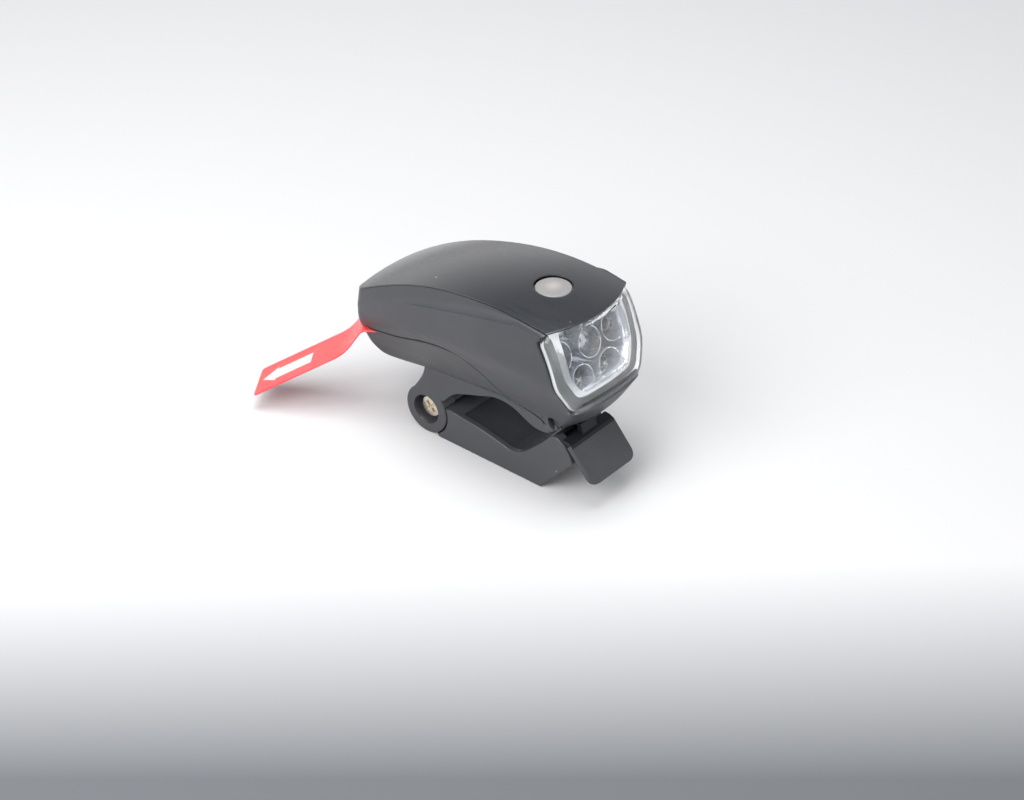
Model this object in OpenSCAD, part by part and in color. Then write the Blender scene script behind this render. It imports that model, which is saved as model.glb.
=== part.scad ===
// Bike headlight standing on its hinged handlebar clamp.
// Millimetres. X runs forward along the beam, Y to the left, Z up.
// Shapes are drawn from the clamp hinge and moved so that the jaw axis is the origin.

/* [Top cover and walls] */
// Radius of the long arc along the top
top_r = 106.5; // [100:0.5:115]
// Height of that arc above the clamp hinge, at the cover's edges
top_z = 52.2; // [50:0.1:55]
// Apex of the top ahead of the clamp hinge
top_x = 37.5; // [34:0.5:41]
// Rise of the middle of the cover over its edges
crown = 1.6; // [0.8:0.1:2.4]
// Thickness of the top cover
cover_t = 1.2; // [1:0.1:1.6]
// Half width of the housing at its widest
side_w = 19.8; // [19:0.1:22]
// Plan radius of the side walls
side_r = 340; // [250:10:600]
// Step from the side walls in to the cover's edge
band_w = 1.8; // [1:0.1:2.4]
// Radius of the wall's upper edge, which falls away to the rear
band_r = 170; // [160:1:180]
// Wall thickness of the housings
wall = 2; // [1.6:0.1:2.4]
// Rear end of the housing behind the clamp hinge
rear_x = 22.8; // [22:0.1:24]
// Corner radius at the rear
corner_r = 3.6; // [3:0.1:4.5]
// Lean of the lower walls
lean = 27; // [24:0.5:30]
// Gap along the parting line
seam = 0.3; // [0.2:0.05:0.4]

/* [Lens and lamp] */
// Pitch of the beam above level
beam_pitch = 18; // [15:0.5:21]
// Outer radius of the domed lens
lens_r = 55; // [54:0.25:57]
// Thickness of the lens
lens_t = 2.4; // [1.6:0.1:2.8]
// Thickness of the lens gasket
gasket_t = 0.6; // [0.4:0.1:1]
// Diameter of the lamps
led_d = 5; // [4.5:0.1:5.2]
// Diameter of the cups at the front of the reflector
cup_d = 9.6; // [8.5:0.1:10]
// Thickness of the circuit boards
board_t = 1.6; // [1:0.1:2]

/* [Switch] */
// Button behind the middle of the lens's face
button_x = 19.9; // [18.5:0.1:21.5]
// Diameter of the button
button_d = 10.4; // [9:0.1:11]
// Gap around the button
button_gap = 0.3; // [0.2:0.05:0.5]
// Travel of the button
button_travel = 0.8; // [0.5:0.1:1]

/* [Cells] */
// Diameter of a cell
cell_d = 10.5; // [10:0.1:10.6]
// Length of a cell with its nub
cell_l = 44.5; // [43:0.1:44.8]
// Pitch of the cells above level
cell_pitch = 6; // [5:0.5:7]

/* [Clamp] */
// Width of the clamp and of its hinge
clamp_w = 18.8; // [17.5:0.1:19.5]
// Radius of the hinge lugs
lug_r = 7.7; // [7.4:0.1:8]
// Width of the arm's barrel between the lugs
barrel_w = 8.4; // [8:0.1:10.6]
// Diameter of the hinge screw
screw_d = 4; // [3:0.1:4.2]
// Depth of the seat that sinks the screw's head
seat = 3.6; // [2.6:0.1:3.6]
// Thickness of the rubber pads
pad_t = 1.4; // [1:0.1:1.8]
// Jaw axis ahead of the clamp hinge
jaw_x = 30; // [28:0.5:32]
// Jaw axis above the clamp hinge
jaw_z = 7.4; // [6.8:0.2:8]

/* [Latch and front pivot] */
// Diameter of the pin on which the housing opens
pivot_d = 3; // [2.4:0.1:3.2]
// Diameter of the recess over that pin's ends
recess_d = 4.8; // [4:0.1:5]
// Width of the ears that carry the pin
ear_w = 13.6; // [12.6:0.1:14]
// Thickness of the release lever
lever_t = 1.6; // [1.2:0.1:1.8]
// Diameter of the lever pin
lever_pin_d = 2; // [1.8:0.1:2.2]
// Width of the latch hook
hook_w = 6.4; // [5:0.1:7]
// Running clearance of each pin in what turns on it
fit = 0.05; // [0.02:0.01:0.1]

/* [Pull tab] */
// Width of the pull tab
tab_w = 14.4; // [12:0.1:15]
// Thickness of the pull tab
tab_t = 0.3; // [0.2:0.05:0.4]

/* [Hidden] */
$fn = 64;
clear = 0.3;
half = clamp_w / 2;
// The arm's underside is level with the bottom of the lugs
foot_z = lug_r;
black = [0.17, 0.175, 0.19];
rubber = [0.1, 0.1, 0.11];
steel = [0.72, 0.7, 0.66];
pivot = [48.3, 16.5];
pivot_ring = 4.1;
lever_at = [48.4, 8];
lever_ring = 2.1;
// Centre of the arc along the top, and of the arc of the wall's upper edge
top_c = [top_x, top_z - top_r];
band_c = [64.6, 53.1 - band_r];
widest_x = 36;
rear_r = 200;
// Foot of the leaning walls, where they meet the clamp's flat sides
foot_c = [0.7, 14.9];
foot_pitch = 2.3;
// Cells: rear end of the lower one, front ends of all, and the front of their bay
cell_at = [-13.2, 21.2];
cell_end = cell_at[0] + cell_l * cos(cell_pitch);
bay_end = cell_end + 4.9;
// Middle of the lens's face, ahead of the cells, and the centre of its dome
lens_face = [cell_end + 28.45, 39.4];
dome_c = lens_face - lens_r * [cos(beam_pitch), sin(beam_pitch)];
beam_l = lens_r + 5;
// Depths along the beam, measured from the centre of the dome
gasket_r = lens_r - lens_t;
rim_r = gasket_r - gasket_t;
mirror_r = gasket_r - 2.2;
mirror_0 = lens_r - 16.2;
// Rim of the housing under the lens, then the lens skirt and the reflector inside it
rim_w = 2.4;
skirt_w = [2.9, 4.3];
led_flange = 1;
board_0 = mirror_0 - led_flange - board_t;
// Lamps: down the lens, then across it
leds = [[-3.6, -11], [-3.6, 0], [-3.6, 11], [5.2, -5.6], [5.2, 5.6]];
// Outline of the lens, down it and across it, with the radius of each corner
lens_foot = 11.6;
lens_half = [[lens_foot, 14, 4], [1.2, 19.2, 4], [-13.2, 19.2, 4]];
lens_n = len(lens_half) - 1;
lens_pts = concat([for (p = lens_half) [p[0], p[1]]],
    [for (i = [lens_n:-1:0]) [lens_half[i][0], -lens_half[i][1]]]);
lens_rad = concat([for (p = lens_half) p[2]], [for (i = [lens_n:-1:0]) lens_half[i][2]]);
cell_y = cell_d / 2 + 0.1;
cell_rise = 9.2;
cell_low = [0, 0];
cell_pair = [[cell_y, cell_rise], [-cell_y, cell_rise]];
contact_t = 0.4;
contact_gap = 0.8;
carrier_t = 2;
// Button ahead of the hinge, then the switch board and what stands on it
button_at = lens_face[0] - button_x;
cover_top = top_c[1] + top_r + crown - 0.03;
cap_top = cover_top - 0.35;
flange_top = cover_top - cover_t - 0.5;
stem_z = flange_top - 1.4;
plunger_top = stem_z - button_travel - 0.1;
switch_h = 3.6;
board_top = plunger_top - switch_h - 0.5;
board_screw = [cell_end + 5.54, 13.4];
board_screw_d = 1.6;
shelf_w = 3.4;
screw_l = 4;
// Lever: top edge, tip and the direction down its face
lever_top = [54.1, 11.5];
lever_tip = [62.8, 1.8];
lever_l = norm(lever_tip - lever_top);
lever_a = atan2(lever_tip[1] - lever_top[1], lever_tip[0] - lever_top[0]);
// Point d down the lever plate from its top edge and n in from its face, by itself half way through
function on_lever(d, n = lever_t / 2) = lever_top + d * [cos(lever_a), sin(lever_a)]
    + n * [sin(lever_a), -cos(lever_a)];
// Pull tab: where it leaves the seam, its heading and its bend
tab_at = [-19.9, -8.2, 22.5];
tab_heading = 214;
tab_dip = 57;
tab_slope = 31;
tab_in = 3.4;
tab_out = 1.9;
tab_drop = 5;
tab_run = 28.6;
tab_bends = [2.5, 16];
// Side view of the jaw, rear to front: saddle above, arm below
saddle = [[8.3, 7.9], [11.4, 10], [20.9, 13.6], [26.5, 15.5], [30.3, 15.5], [33.9, 14.8],
    [37.5, 13], [41.2, 11.6]];
arm_top = [[8.4, 3.7], [13.2, 3.1], [20.8, 2.3], [28.3, 0.8], [31.5, 0.1], [33.9, 0.3],
    [36.5, 1.5], [39.4, 3.9], [43, 7.4], [45.5, 10.3], [47.2, 11.5], [48.8, 11.9]];
// Side view of the parting line, rear to front
seam_pts = [[-36, 18.6], [-27, 20.8], [-16.8, 23.2], [-5.7, 25.6], [5.4, 29.4], [13.5, 31.1],
    [20, 30.3], [25.6, 26.8], [30.6, 20.4], [35.2, 18], [40, 16.9], [44.4, 15.4], [46, 13.5]];
// Angles at which it meets the ring about the pivot, and leaves it
seam_join = seam_pts[len(seam_pts) - 2] - pivot;
seam_start = atan2(seam_join[1], seam_join[0]) + 360;
seam_end = 254;
// Side view of the chin, from the pivot up to the foot of the lens
chin = [pivot + [1.8, -1.9], pivot + [5.4, 0.4], lens_face + [-1.7, -19], lens_face + [2.9, -12.2]];

// Point on a smooth curve through four points
function curve(a, b, c, d, t) = 0.5 * (2 * b + (c - a) * t + (2 * a - 5 * b + 4 * c - d) * t * t
    + (3 * b - a - 3 * c + d) * t * t * t);
function spline(p, n) = [for (i = [1:len(p) - 3], k = [0:n - 1])
    curve(p[i - 1], p[i], p[i + 1], p[i + 2], k / n)];
// Left-hand normal of the edge that ends at point i
function normal(p, i) = let (e = p[i] - p[(i + len(p) - 1) % len(p)]) [-e[1], e[0]] / norm(e);
function cross2(a, b) = a[0] * b[1] - a[1] * b[0];
// Corner i of an outline moved in by d
function corner(p, i, d0, d1) = let (a = normal(p, i), b = normal(p, (i + 1) % len(p)), k = cross2(a, b),
    u = a * p[i] + d0, v = b * p[i] + d1) [(u * b[1] - v * a[1]) / k, (a[0] * v - b[0] * u) / k];
function inset(p, d) = [for (i = [0:len(p) - 1]) corner(p, i, d, d)];
function down(p, d) = [for (q = p) [q[0], q[1] - d]];
function flip(p) = [for (i = [len(p) - 1:-1:0]) p[i]];

module place() translate([-jaw_x, 0, -jaw_z]) children();
// A side view drawn in X and Z, as wide as w
module side(w) rotate([90, 0, 0]) linear_extrude(w, center = true) children();
// Down the lens, across it and out along the beam
module beam() translate([dome_c[0], 0, dome_c[1]]) rotate([0, 90 - beam_pitch, 0]) children();
module dome(r) translate([dome_c[0], 0, dome_c[1]]) sphere(r, $fn = 160);
module box(a, b) translate(a) cube(b - a);

// Outline with true round corners, moved in by d
module rounded(p, radii, d = 0) {
    q = inset(p, d);
    n = len(q);
    r = [for (v = radii) max(v - d, 1)];
    c = [for (i = [0:n - 1]) corner(q, i, r[i], r[i])];
    polygon([for (i = [0:n - 1], k = [0, 1]) c[i] - normal(q, (i + k) % n) * r[i]]);
    for (i = [0:n - 1]) translate(c[i]) circle(r[i]);
}

module lens_outline(d = 0) rounded(lens_pts, lens_rad, d);

// Plan of the walls moved in by d, run up through the whole height
module walls(d) {
    y = side_w - pow(rear_x + widest_x, 2) / (2 * side_r) - corner_r;
    x = corner_r - rear_x + y * y / (2 * rear_r);
    translate([0, 0, -40]) linear_extrude(120) intersection() {
        translate([widest_x, side_w - side_r - d]) circle(side_r, $fn = 360);
        translate([widest_x, side_r - side_w + d]) circle(side_r, $fn = 360);
        translate([rear_r - rear_x + d, 0]) circle(rear_r, $fn = 360);
        union() {
            translate([x + d, -60]) square([200, 120]);
            translate([-60, d - y]) square([200, 2 * y - 2 * d]);
            for (s = [-1, 1]) translate([x + d, s * (y - d)]) circle(corner_r);
        }
    }
}

// The leaning lower walls and the clamp's flat sides below them
module funnel(d) {
    b = half - d;
    k = b - d * (1 / cos(lean) - 1);
    w = k + 60 * tan(lean);
    translate([foot_c[0], 0, foot_c[1]]) rotate([0, -foot_pitch, 0]) rotate([90, 0, 90])
        linear_extrude(240, center = true)
            polygon([[-b, -60], [b, -60], [k, 0], [w, 60], [-w, 60], [-k, 0]]);
}

// The crowned top, lowered by d
module crowned(d) {
    k = (pow(side_w - band_w, 2) - crown * crown) / (2 * crown);
    big = k + crown;
    translate([top_c[0], 0, top_c[1]]) rotate([90, 0, 0]) rotate_extrude($fn = 360) intersection() {
        translate([top_r + crown - big, 0]) circle(big - d, $fn = 360);
        translate([0, -30]) square([200, 60]);
    }
}

// Everything under the wall's upper edge, lowered by d
module under_band(d) side(80) translate(band_c) circle(band_r - d, $fn = 360);

// Side view below and above the parting line
module below_seam() {
    r = pivot_ring + seam / 2;
    polygon(concat(down(spline(seam_pts, 4), seam / 2),
        [for (a = [seam_start:6:seam_end]) pivot + r * [cos(a), sin(a)]], [[47.2, -60], [-60, -60]]));
}
module above_seam() {
    r = pivot_ring - seam / 2;
    polygon(concat(down(spline(seam_pts, 4), -seam / 2),
        [for (a = [seam_start:6:seam_end]) pivot + r * [cos(a), sin(a)]], chin,
        [lens_face + [20.5, 20.6], lens_face + [20.5, 50], [-60, 90]]));
}

module top_cover() place() color(black) difference() {
    intersection() {
        walls(band_w);
        crowned(0);
        dome(lens_r);
        box([-40, -30, 20], [80, 30, 80]);
    }
    crowned(cover_t);
    translate([button_at, 0, 20]) cylinder(60, d = button_d + 2 * button_gap);
}

// Inside of the upper housing, and the opening that the cover closes
module upper_inside() intersection() {
    union() {
        intersection() {
            walls(wall);
            under_band(wall);
        }
        walls(band_w + wall);
    }
    funnel(wall);
    union() {
        box([-60, -30, -20], [bay_end, 30, 80]);
        box([bay_end - 1, -30, 34], [button_at + 8.4, 30, 80]);
        beam() box([-40, -30, 0], [lens_foot - rim_w, 30, beam_l]);
    }
    union() {
        crowned(cover_t + 1.6);
        intersection() {
            walls(band_w + 4);
            box([-60, -30, 20], [button_at + 8.4, 30, 80]);
        }
    }
}

module upper_housing() place() color(black) difference() {
    union() {
        difference() {
            intersection() {
                union() {
                    intersection() {
                        walls(0);
                        under_band(0);
                    }
                    walls(band_w);
                }
                crowned(cover_t);
                funnel(0);
                side(80) above_seam();
                union() {
                    dome(rim_r);
                    intersection() {
                        dome(lens_r);
                        beam() box([lens_foot + clear, -30, 0], [40, 30, beam_l]);
                    }
                }
            }
            upper_inside();
        }
        // Shelves under the switch board
        intersection() {
            walls(wall / 2);
            for (s = [-1, 1])
                translate([board_screw[0], s * (board_screw[1] + 7.6), board_top - board_t - 4.5])
                    cube([shelf_w, 20, 9], center = true);
        }
    }
    board_holes();
    // Room for the ears, the hook and the tab
    box([32, -ear_w / 2 - clear, 0], [53.2, ear_w / 2 + clear, 20.6]);
    box([50, -hook_w / 2 - 0.8, 0], [57, hook_w / 2 + 0.8, 20.6]);
    translate([pivot[0], 0, pivot[1]]) rotate([90, 0, 0]) {
        cylinder(60, d = pivot_d + 2 * fit, center = true);
        for (s = [-1, 1]) translate([0, 0, s * (half + 19)]) cylinder(40, d = recess_d, center = true);
    }
    tab_slot();
}

module lower_housing() place() color(black) difference() {
    union() {
        difference() {
            intersection() {
                walls(0);
                funnel(0);
                side(80) below_seam();
                side(80) {
                    polygon(concat([[-60, 60], [-60, 17], [0.2 - rear_x, 17], [1.6 - rear_x, 14.2],
                        [3.6 - rear_x, 12.2], [6.3 - rear_x, 11.5], [-12, 11.9], [-0.6, 13.8], [-1.4, 8.6],
                        [0, 0], [6.4, 4.2]], saddle, [[44.8, 11.9], [47.2, 13], [47.2, 60]]));
                    circle(lug_r);
                }
            }
            intersection() {
                walls(wall);
                funnel(wall);
                side(80) polygon([[-60, 60], [-60, 16.2], [3.8 - rear_x, 16.2], [6.8 - rear_x, 13.8],
                    [-12, 14], [0, 15.9], [30.4, 17.8], [30.4, 60]]);
            }
        }
        // Ears for the front pivot
        side(ear_w) {
            polygon([[38, 13.6], [43.4, 12.4], [47.6, 12.9], [48.6, 13.2], [48.3, 19.7], [46.8, 19.3],
                [38, 17]]);
            translate(pivot) circle(3.2);
        }
        // Ledge for the latch
        side(hook_w + 0.8) polygon([[44, 12.6], [50.5, 12.6], [50.5, 13.6], [46, 14.6]]);
    }
    // Notch over the ledge
    box([49.3, -hook_w / 2 - 0.8, 13.6], [54, hook_w / 2 + 0.8, 15.6]);
    // Slot for the arm's barrel, bore, screw seat and nut seat
    side(barrel_w + 2 * clear) circle(lug_r + 0.6);
    rotate([90, 0, 0]) cylinder(60, d = screw_d, center = true);
    translate([0, seat - half, 0]) rotate([90, 0, 0]) cylinder(10, d = 9.4);
    translate([0, half - 2.6, 0]) rotate([-90, 30, 0]) cylinder(10, d = 7.1 / cos(30), $fn = 6);
    translate([pivot[0], 0, pivot[1]]) rotate([90, 0, 0]) cylinder(60, d = pivot_d, center = true);
    // Seat for the saddle pad
    pad_path(saddle, 1, 7, -pad_t + 0.4, 2);
    tab_slot(3);
}

// Band along part of a side view, from depth a down to depth b
module pad_path(p, i, j, a, b) {
    q = [for (k = [i:j]) p[k]];
    side(clamp_w - 3.6) polygon(concat(down(q, a), flip(down(q, b))));
}

module saddle_pad() place() color(rubber) pad_path(saddle, 1, 7, -pad_t + 0.4, 0.4);

module lens() place() color([0.85, 0.88, 0.9]) difference() {
    intersection() {
        beam() linear_extrude(beam_l) lens_outline();
        dome(lens_r);
        crowned(cover_t + clear);
    }
    difference() {
        dome(gasket_r);
        // Skirt inside the housing
        beam() translate([0, 0, lens_r - 9]) linear_extrude(20) difference() {
            lens_outline(skirt_w[0]);
            lens_outline(skirt_w[1]);
        }
    }
}

module lens_gasket() place() color(rubber) intersection() {
    beam() linear_extrude(beam_l) difference() {
        lens_outline(0.4);
        lens_outline(2.2);
    }
    crowned(cover_t + clear);
    difference() {
        dome(gasket_r);
        dome(rim_r);
    }
}

module reflector() place() color([0.8, 0.82, 0.85]) difference() {
    intersection() {
        beam() translate([0, 0, mirror_0]) linear_extrude(30) lens_outline(skirt_w[1] + clear);
        dome(mirror_r);
    }
    beam() for (p = leds) translate([p[0], p[1], mirror_0 - 1]) {
        cylinder(30, d = led_d + 0.4);
        translate([0, 0, 2.6]) cylinder(11, d1 = led_d + 0.4, d2 = cup_d);
    }
}

module leds() place() color([0.93, 0.93, 0.9]) beam() for (p = leds)
    translate([p[0], p[1], board_0 + board_t]) {
        cylinder(led_flange, d = led_d + 0.8);
        cylinder(6.1, d = led_d);
        translate([0, 0, 6.1]) sphere(d = led_d);
        for (s = [-1.27, 1.27]) translate([0, s, -board_t - 1.4]) cylinder(board_t + 2, d = 0.6);
    }

module led_board() place() color([0.1, 0.3, 0.16]) beam() difference() {
    translate([0, 0, board_0]) linear_extrude(board_t) lens_outline(5.2);
    for (p = leds, s = [-1.27, 1.27]) translate([p[0], p[1] + s, board_0 - 1]) cylinder(board_t + 2, d = 0.6);
}

module switch_board() place() color([0.1, 0.3, 0.16]) difference() {
    intersection() {
        box([board_screw[0] - 9.6, -30, board_top - board_t], [button_at + 4.8, 30, board_top]);
        walls(band_w + wall);
    }
    board_holes();
}

module tact_switch() place() color([0.2, 0.2, 0.2]) {
    translate([button_at - 3, -3, board_top]) cube([6, 6, switch_h]);
    translate([button_at, 0, board_top]) cylinder(switch_h + 0.5, d = 3.2);
}

module indicator_led() place() color([0.9, 0.75, 0.45])
    translate([button_at - 5.2, -0.8, board_top]) cube([1.6, 1.6, 0.8]);

module button_cap() place() color([0.6, 0.59, 0.58]) {
    translate([button_at, 0, flange_top - 0.8]) cylinder(cap_top - flange_top + 0.8, d = button_d);
    translate([button_at, 0, flange_top - 0.8]) cylinder(0.8, d = button_d + 2);
    translate([button_at, 0, stem_z]) cylinder(flange_top - stem_z, d = 3);
}

// Along a cell from its rear end, across and up
module cell_row() translate([cell_at[0], 0, cell_at[1]]) rotate([0, -cell_pitch, 0]) children();

module cell(turned) {
    can = cell_l - 1;
    translate([turned ? 1 : 0, 0, 0]) rotate([0, 90, 0]) cylinder(can, d = cell_d);
    translate([turned ? 0 : can - 1, 0, 0]) rotate([0, 90, 0]) cylinder(2, d = 3.8);
}

module cell_lower() place() color([0.75, 0.62, 0.3]) cell_row() cell(false);
module cell_left() place() color([0.75, 0.62, 0.3]) cell_row() translate([0, cell_y, cell_rise]) cell(true);
module cell_right() place() color([0.75, 0.62, 0.3]) cell_row() translate([0, -cell_y, cell_rise]) cell(true);

// Plate across the cells at distance x along them, held by the upper walls
module carrier(x) intersection() {
    cell_row() translate([x, 0, 0]) {
        box([0, -30, 7.2], [carrier_t, 30, 14]);
        box([0, -5.6, -4.6], [carrier_t, 5.6, 8]);
    }
    upper_inside();
}

module rivet_holes(x) cell_row() for (p = concat([cell_low], cell_pair))
    translate([x, p[0], p[1]]) rotate([0, 90, 0]) cylinder(carrier_t + 2, d = 1.6);

module front_carrier() place() color([0.2, 0.2, 0.21]) difference() {
    carrier(cell_l + contact_gap + contact_t);
    rivet_holes(cell_l + contact_gap);
}

module rear_carrier() place() color([0.2, 0.2, 0.21]) difference() {
    carrier(-contact_gap - contact_t - carrier_t);
    tab_slot();
    rivet_holes(-contact_gap - contact_t - carrier_t - 1);
}

// Contact plate over a cell end, with a rivet through the carrier and a dimple towards the cell
module contact(p, x, s, dimple = true) translate([x, p[0], p[1]]) {
    box([-contact_t / 2, -3.6, -3.6], [contact_t / 2, 3.6, p[1] > 0 ? 3.6 : 1.8]);
    rotate([0, 90 * s, 0]) cylinder(contact_t / 2 + 2, d = 1.6);
    if (dimple) rotate([0, -90 * s, 0]) cylinder(contact_t / 2 + contact_gap, d = 2.6);
}

module front_contacts() place() color(steel) cell_row() {
    contact(cell_low, cell_l + contact_gap + contact_t / 2, 1);
    for (p = cell_pair) contact(p, cell_l + contact_gap + contact_t / 2, 1, false);
}

module rear_contacts() place() color(steel) cell_row() {
    contact(cell_low, -contact_gap - contact_t / 2, -1);
    for (p = cell_pair) contact(p, -contact_gap - contact_t / 2, -1);
}

// Cone springs pressed flat between the front contacts and the cells' flat ends
module contact_springs() place() color(steel) cell_row() for (p = cell_pair)
    translate([cell_l, p[0], p[1]]) rotate([0, 90, 0]) difference() {
        cylinder(contact_gap, d1 = 4.4, d2 = 6.4);
        translate([0, 0, -1]) cylinder(3, d = 3.2);
    }

module board_holes() for (s = [-1, 1])
    translate([board_screw[0], s * board_screw[1], board_top - board_t - screw_l])
        cylinder(20, d = board_screw_d);

module board_screws() place() color(steel) for (s = [-1, 1])
    translate([board_screw[0], s * board_screw[1], board_top]) {
        cylinder(1.2, d = 3.2);
        translate([0, 0, -board_t - screw_l]) cylinder(board_t + screw_l + 0.5, d = board_screw_d);
    }

// Points of an arc about c from angle a to angle b, measured from upright
function arc(c, r, a, b) = [for (k = [0:6]) let (v = a + (b - a) * k / 6) c + r * [sin(v), cos(v)]];

// Side view of the film, from inside the seam to its tip, grown by g
module tab_side(g) {
    t = tab_t / 2 + g;
    lo = tab_dip;
    hi = tab_slope;
    c0 = [tab_out, -tab_bends[0]];
    p0 = c0 + tab_bends[0] * [sin(lo), cos(lo)] + tab_drop * [cos(lo), -sin(lo)];
    c1 = p0 + tab_bends[1] * [sin(lo), cos(lo)];
    p1 = c1 - tab_bends[1] * [sin(hi), cos(hi)] + (tab_run + g) * [cos(hi), -sin(hi)];
    n = t * [sin(hi), cos(hi)];
    polygon(concat([[-tab_in - g, -t], [-tab_in - g, t]],
        arc(c0, tab_bends[0] + t, 0, lo),
        arc(c1, t - tab_bends[1], lo, hi),
        [p1 + n, p1 - n],
        arc(c1, -t - tab_bends[1], hi, lo),
        arc(c0, tab_bends[0] - t, lo, 0)));
}

module tab_path(g, gw) translate(tab_at) rotate([0, 0, tab_heading]) rotate([90, 0, 0])
    linear_extrude(tab_w + 2 * gw, center = true) tab_side(g);

// Way for the film through the walls, at rest and as it is drawn out, open upwards by h
module tab_slot(h = 0) {
    w = tab_w / 2 + 0.6;
    t = tab_t / 2 + 0.35;
    tab_path(0.35, 0.6);
    translate(tab_at) rotate([0, 0, tab_heading]) {
        box([-tab_in - 0.6, -w, -t], [12, w, t + h]);
        if (h > 0) box([tab_out - 0.4, -w - 0.1, -h], [12, w + 0.1, h]);
    }
}

module pull_tab() place() color([0.95, 0.33, 0.33]) tab_path(0, 0);

module pivot_pin() place() color(steel) translate([pivot[0], 0, pivot[1]]) rotate([90, 0, 0])
    cylinder(clamp_w - 2.2, d = pivot_d, center = true);

module hinge_screw() place() color(steel) rotate([90, 0, 0]) difference() {
    union() {
        translate([0, 0, -half + 0.6]) cylinder(clamp_w - seat, d = screw_d);
        translate([0, 0, half - seat]) cylinder(1.5, d = 6.4);
    }
    translate([0, 0, half - seat + 0.7]) for (a = [45, 135]) rotate(a) translate([-2, -0.45, 0]) cube([4, 0.9, 4]);
}

module hinge_nut() place() color(steel) difference() {
    translate([0, half - 2.6, 0]) rotate([-90, 30, 0]) cylinder(2.2, d = 7 / cos(30), $fn = 6);
    rotate([90, 0, 0]) cylinder(60, d = screw_d, center = true);
}

// Side view of the arm, with its front face close behind the lever
module arm_side() polygon(concat([[lug_r - 1.4, -foot_z], [lug_r - 1.4, 3.9]], arm_top,
    [[50.2, 11.3], [51.4, 10.6], [53.5, 7.9], [54.6, 5.4], [43.1, -foot_z]]));

module clamp_arm() place() color(black) difference() {
    union() {
        difference() {
            side(clamp_w) arm_side();
            side(clamp_w + 2) circle(lug_r + 0.35);
        }
        side(barrel_w) {
            circle(lug_r - 0.6);
            polygon([[0, 3.4], [10, 2.8], [12, -foot_z], [4, -foot_z], [0, -5]]);
        }
    }
    rotate([90, 0, 0]) cylinder(60, d = screw_d + 2 * fit, center = true);
    pad_path(arm_top, 1, 8, -5, pad_t + 0.4);
    // Slot for the lever's barrel and hook
    side(12.4) {
        translate(lever_at) circle(lever_ring + 0.35);
        translate(lever_at) polygon([[0, -lever_ring - 0.35], [12, -lever_ring - 0.35], [12, 12],
            [1.6, 12], [0, lever_ring + 0.35]]);
    }
    translate([lever_at[0], 0, lever_at[1]]) rotate([90, 0, 0])
        cylinder(clamp_w - 3, d = lever_pin_d, center = true);
    // Hollow underside with two ribs
    for (x = [[13, 21.4], [22.8, 31.2], [32.6, 39]])
        box([x[0], -half + 1.8, -foot_z - 1], [x[1], half - 1.8, -foot_z + 3.2]);
}

module arm_pad() place() color(rubber) pad_path(arm_top, 1, 8, 0.4, pad_t + 0.4);

module release_lever() place() color([0.2, 0.205, 0.21]) difference() {
    union() {
        // Plate with rounded lower corners
        translate([lever_top[0], 0, lever_top[1]]) rotate([0, -lever_a, 0]) translate([0, 0, -lever_t])
            linear_extrude(lever_t) {
                translate([0, -half - 0.3]) square([lever_l - 3, clamp_w + 0.6]);
                translate([0, -half + 2.7]) square([lever_l, clamp_w - 5.4]);
                for (s = [-1, 1]) translate([lever_l - 3, s * (half - 2.7)]) circle(3);
            }
        side(11.8) {
            translate(lever_at) circle(lever_ring);
            polygon([lever_at + [0.6, -2], on_lever(5.4), on_lever(1), lever_at + [0, lever_ring]]);
        }
        // Shelf and lip that close the gap below the nose, then the hook
        side(clamp_w) polygon([[51.3, 11.6], [51.3, 12.4], [53.2, 12.1], on_lever(-0.2, -0.2),
            on_lever(0.9, -0.2), on_lever(1.2)]);
        side(hook_w) polygon([lever_at + [0.4, 1.6], on_lever(2), on_lever(0.4), [52.6, 14.9], [50.8, 14.9],
            [50.8, 13.9], [51.3, 13.9], [51.3, 11.8], lever_at + [0.6, 2]]);
    }
    translate([lever_at[0], 0, lever_at[1]]) rotate([90, 0, 0])
        cylinder(60, d = lever_pin_d + 2 * fit, center = true);
}

module lever_pin() place() color(steel) translate([lever_at[0], 0, lever_at[1]]) rotate([90, 0, 0])
    cylinder(clamp_w - 3, d = lever_pin_d, center = true);

top_cover();
upper_housing();
lower_housing();
lens();
lens_gasket();
reflector();
leds();
led_board();
switch_board();
tact_switch();
indicator_led();
button_cap();
cell_lower();
cell_left();
cell_right();
front_carrier();
rear_carrier();
front_contacts();
rear_contacts();
contact_springs();
board_screws();
pull_tab();
pivot_pin();
saddle_pad();
hinge_screw();
hinge_nut();
clamp_arm();
arm_pad();
release_lever();
lever_pin();
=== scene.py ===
from math import atan2, cos, degrees, dist, exp, hypot, log, pi, radians, sin, sqrt, tan

import bmesh
import bpy
from mathutils import Matrix, Vector


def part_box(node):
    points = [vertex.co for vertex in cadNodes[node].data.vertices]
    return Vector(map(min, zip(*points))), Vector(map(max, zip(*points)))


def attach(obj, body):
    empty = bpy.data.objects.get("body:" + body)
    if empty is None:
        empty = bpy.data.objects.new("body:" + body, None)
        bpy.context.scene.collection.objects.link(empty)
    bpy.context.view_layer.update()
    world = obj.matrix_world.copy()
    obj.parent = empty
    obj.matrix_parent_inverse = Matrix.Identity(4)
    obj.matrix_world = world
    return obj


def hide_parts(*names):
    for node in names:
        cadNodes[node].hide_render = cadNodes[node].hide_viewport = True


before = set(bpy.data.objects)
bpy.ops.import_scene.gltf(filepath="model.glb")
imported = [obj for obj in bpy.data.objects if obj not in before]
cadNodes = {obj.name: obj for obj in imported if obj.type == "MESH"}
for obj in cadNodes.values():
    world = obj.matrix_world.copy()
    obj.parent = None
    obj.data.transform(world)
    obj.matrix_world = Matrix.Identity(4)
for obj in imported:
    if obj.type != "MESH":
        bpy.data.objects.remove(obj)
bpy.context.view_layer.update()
scene = bpy.context.scene
ops = bmesh.ops
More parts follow.
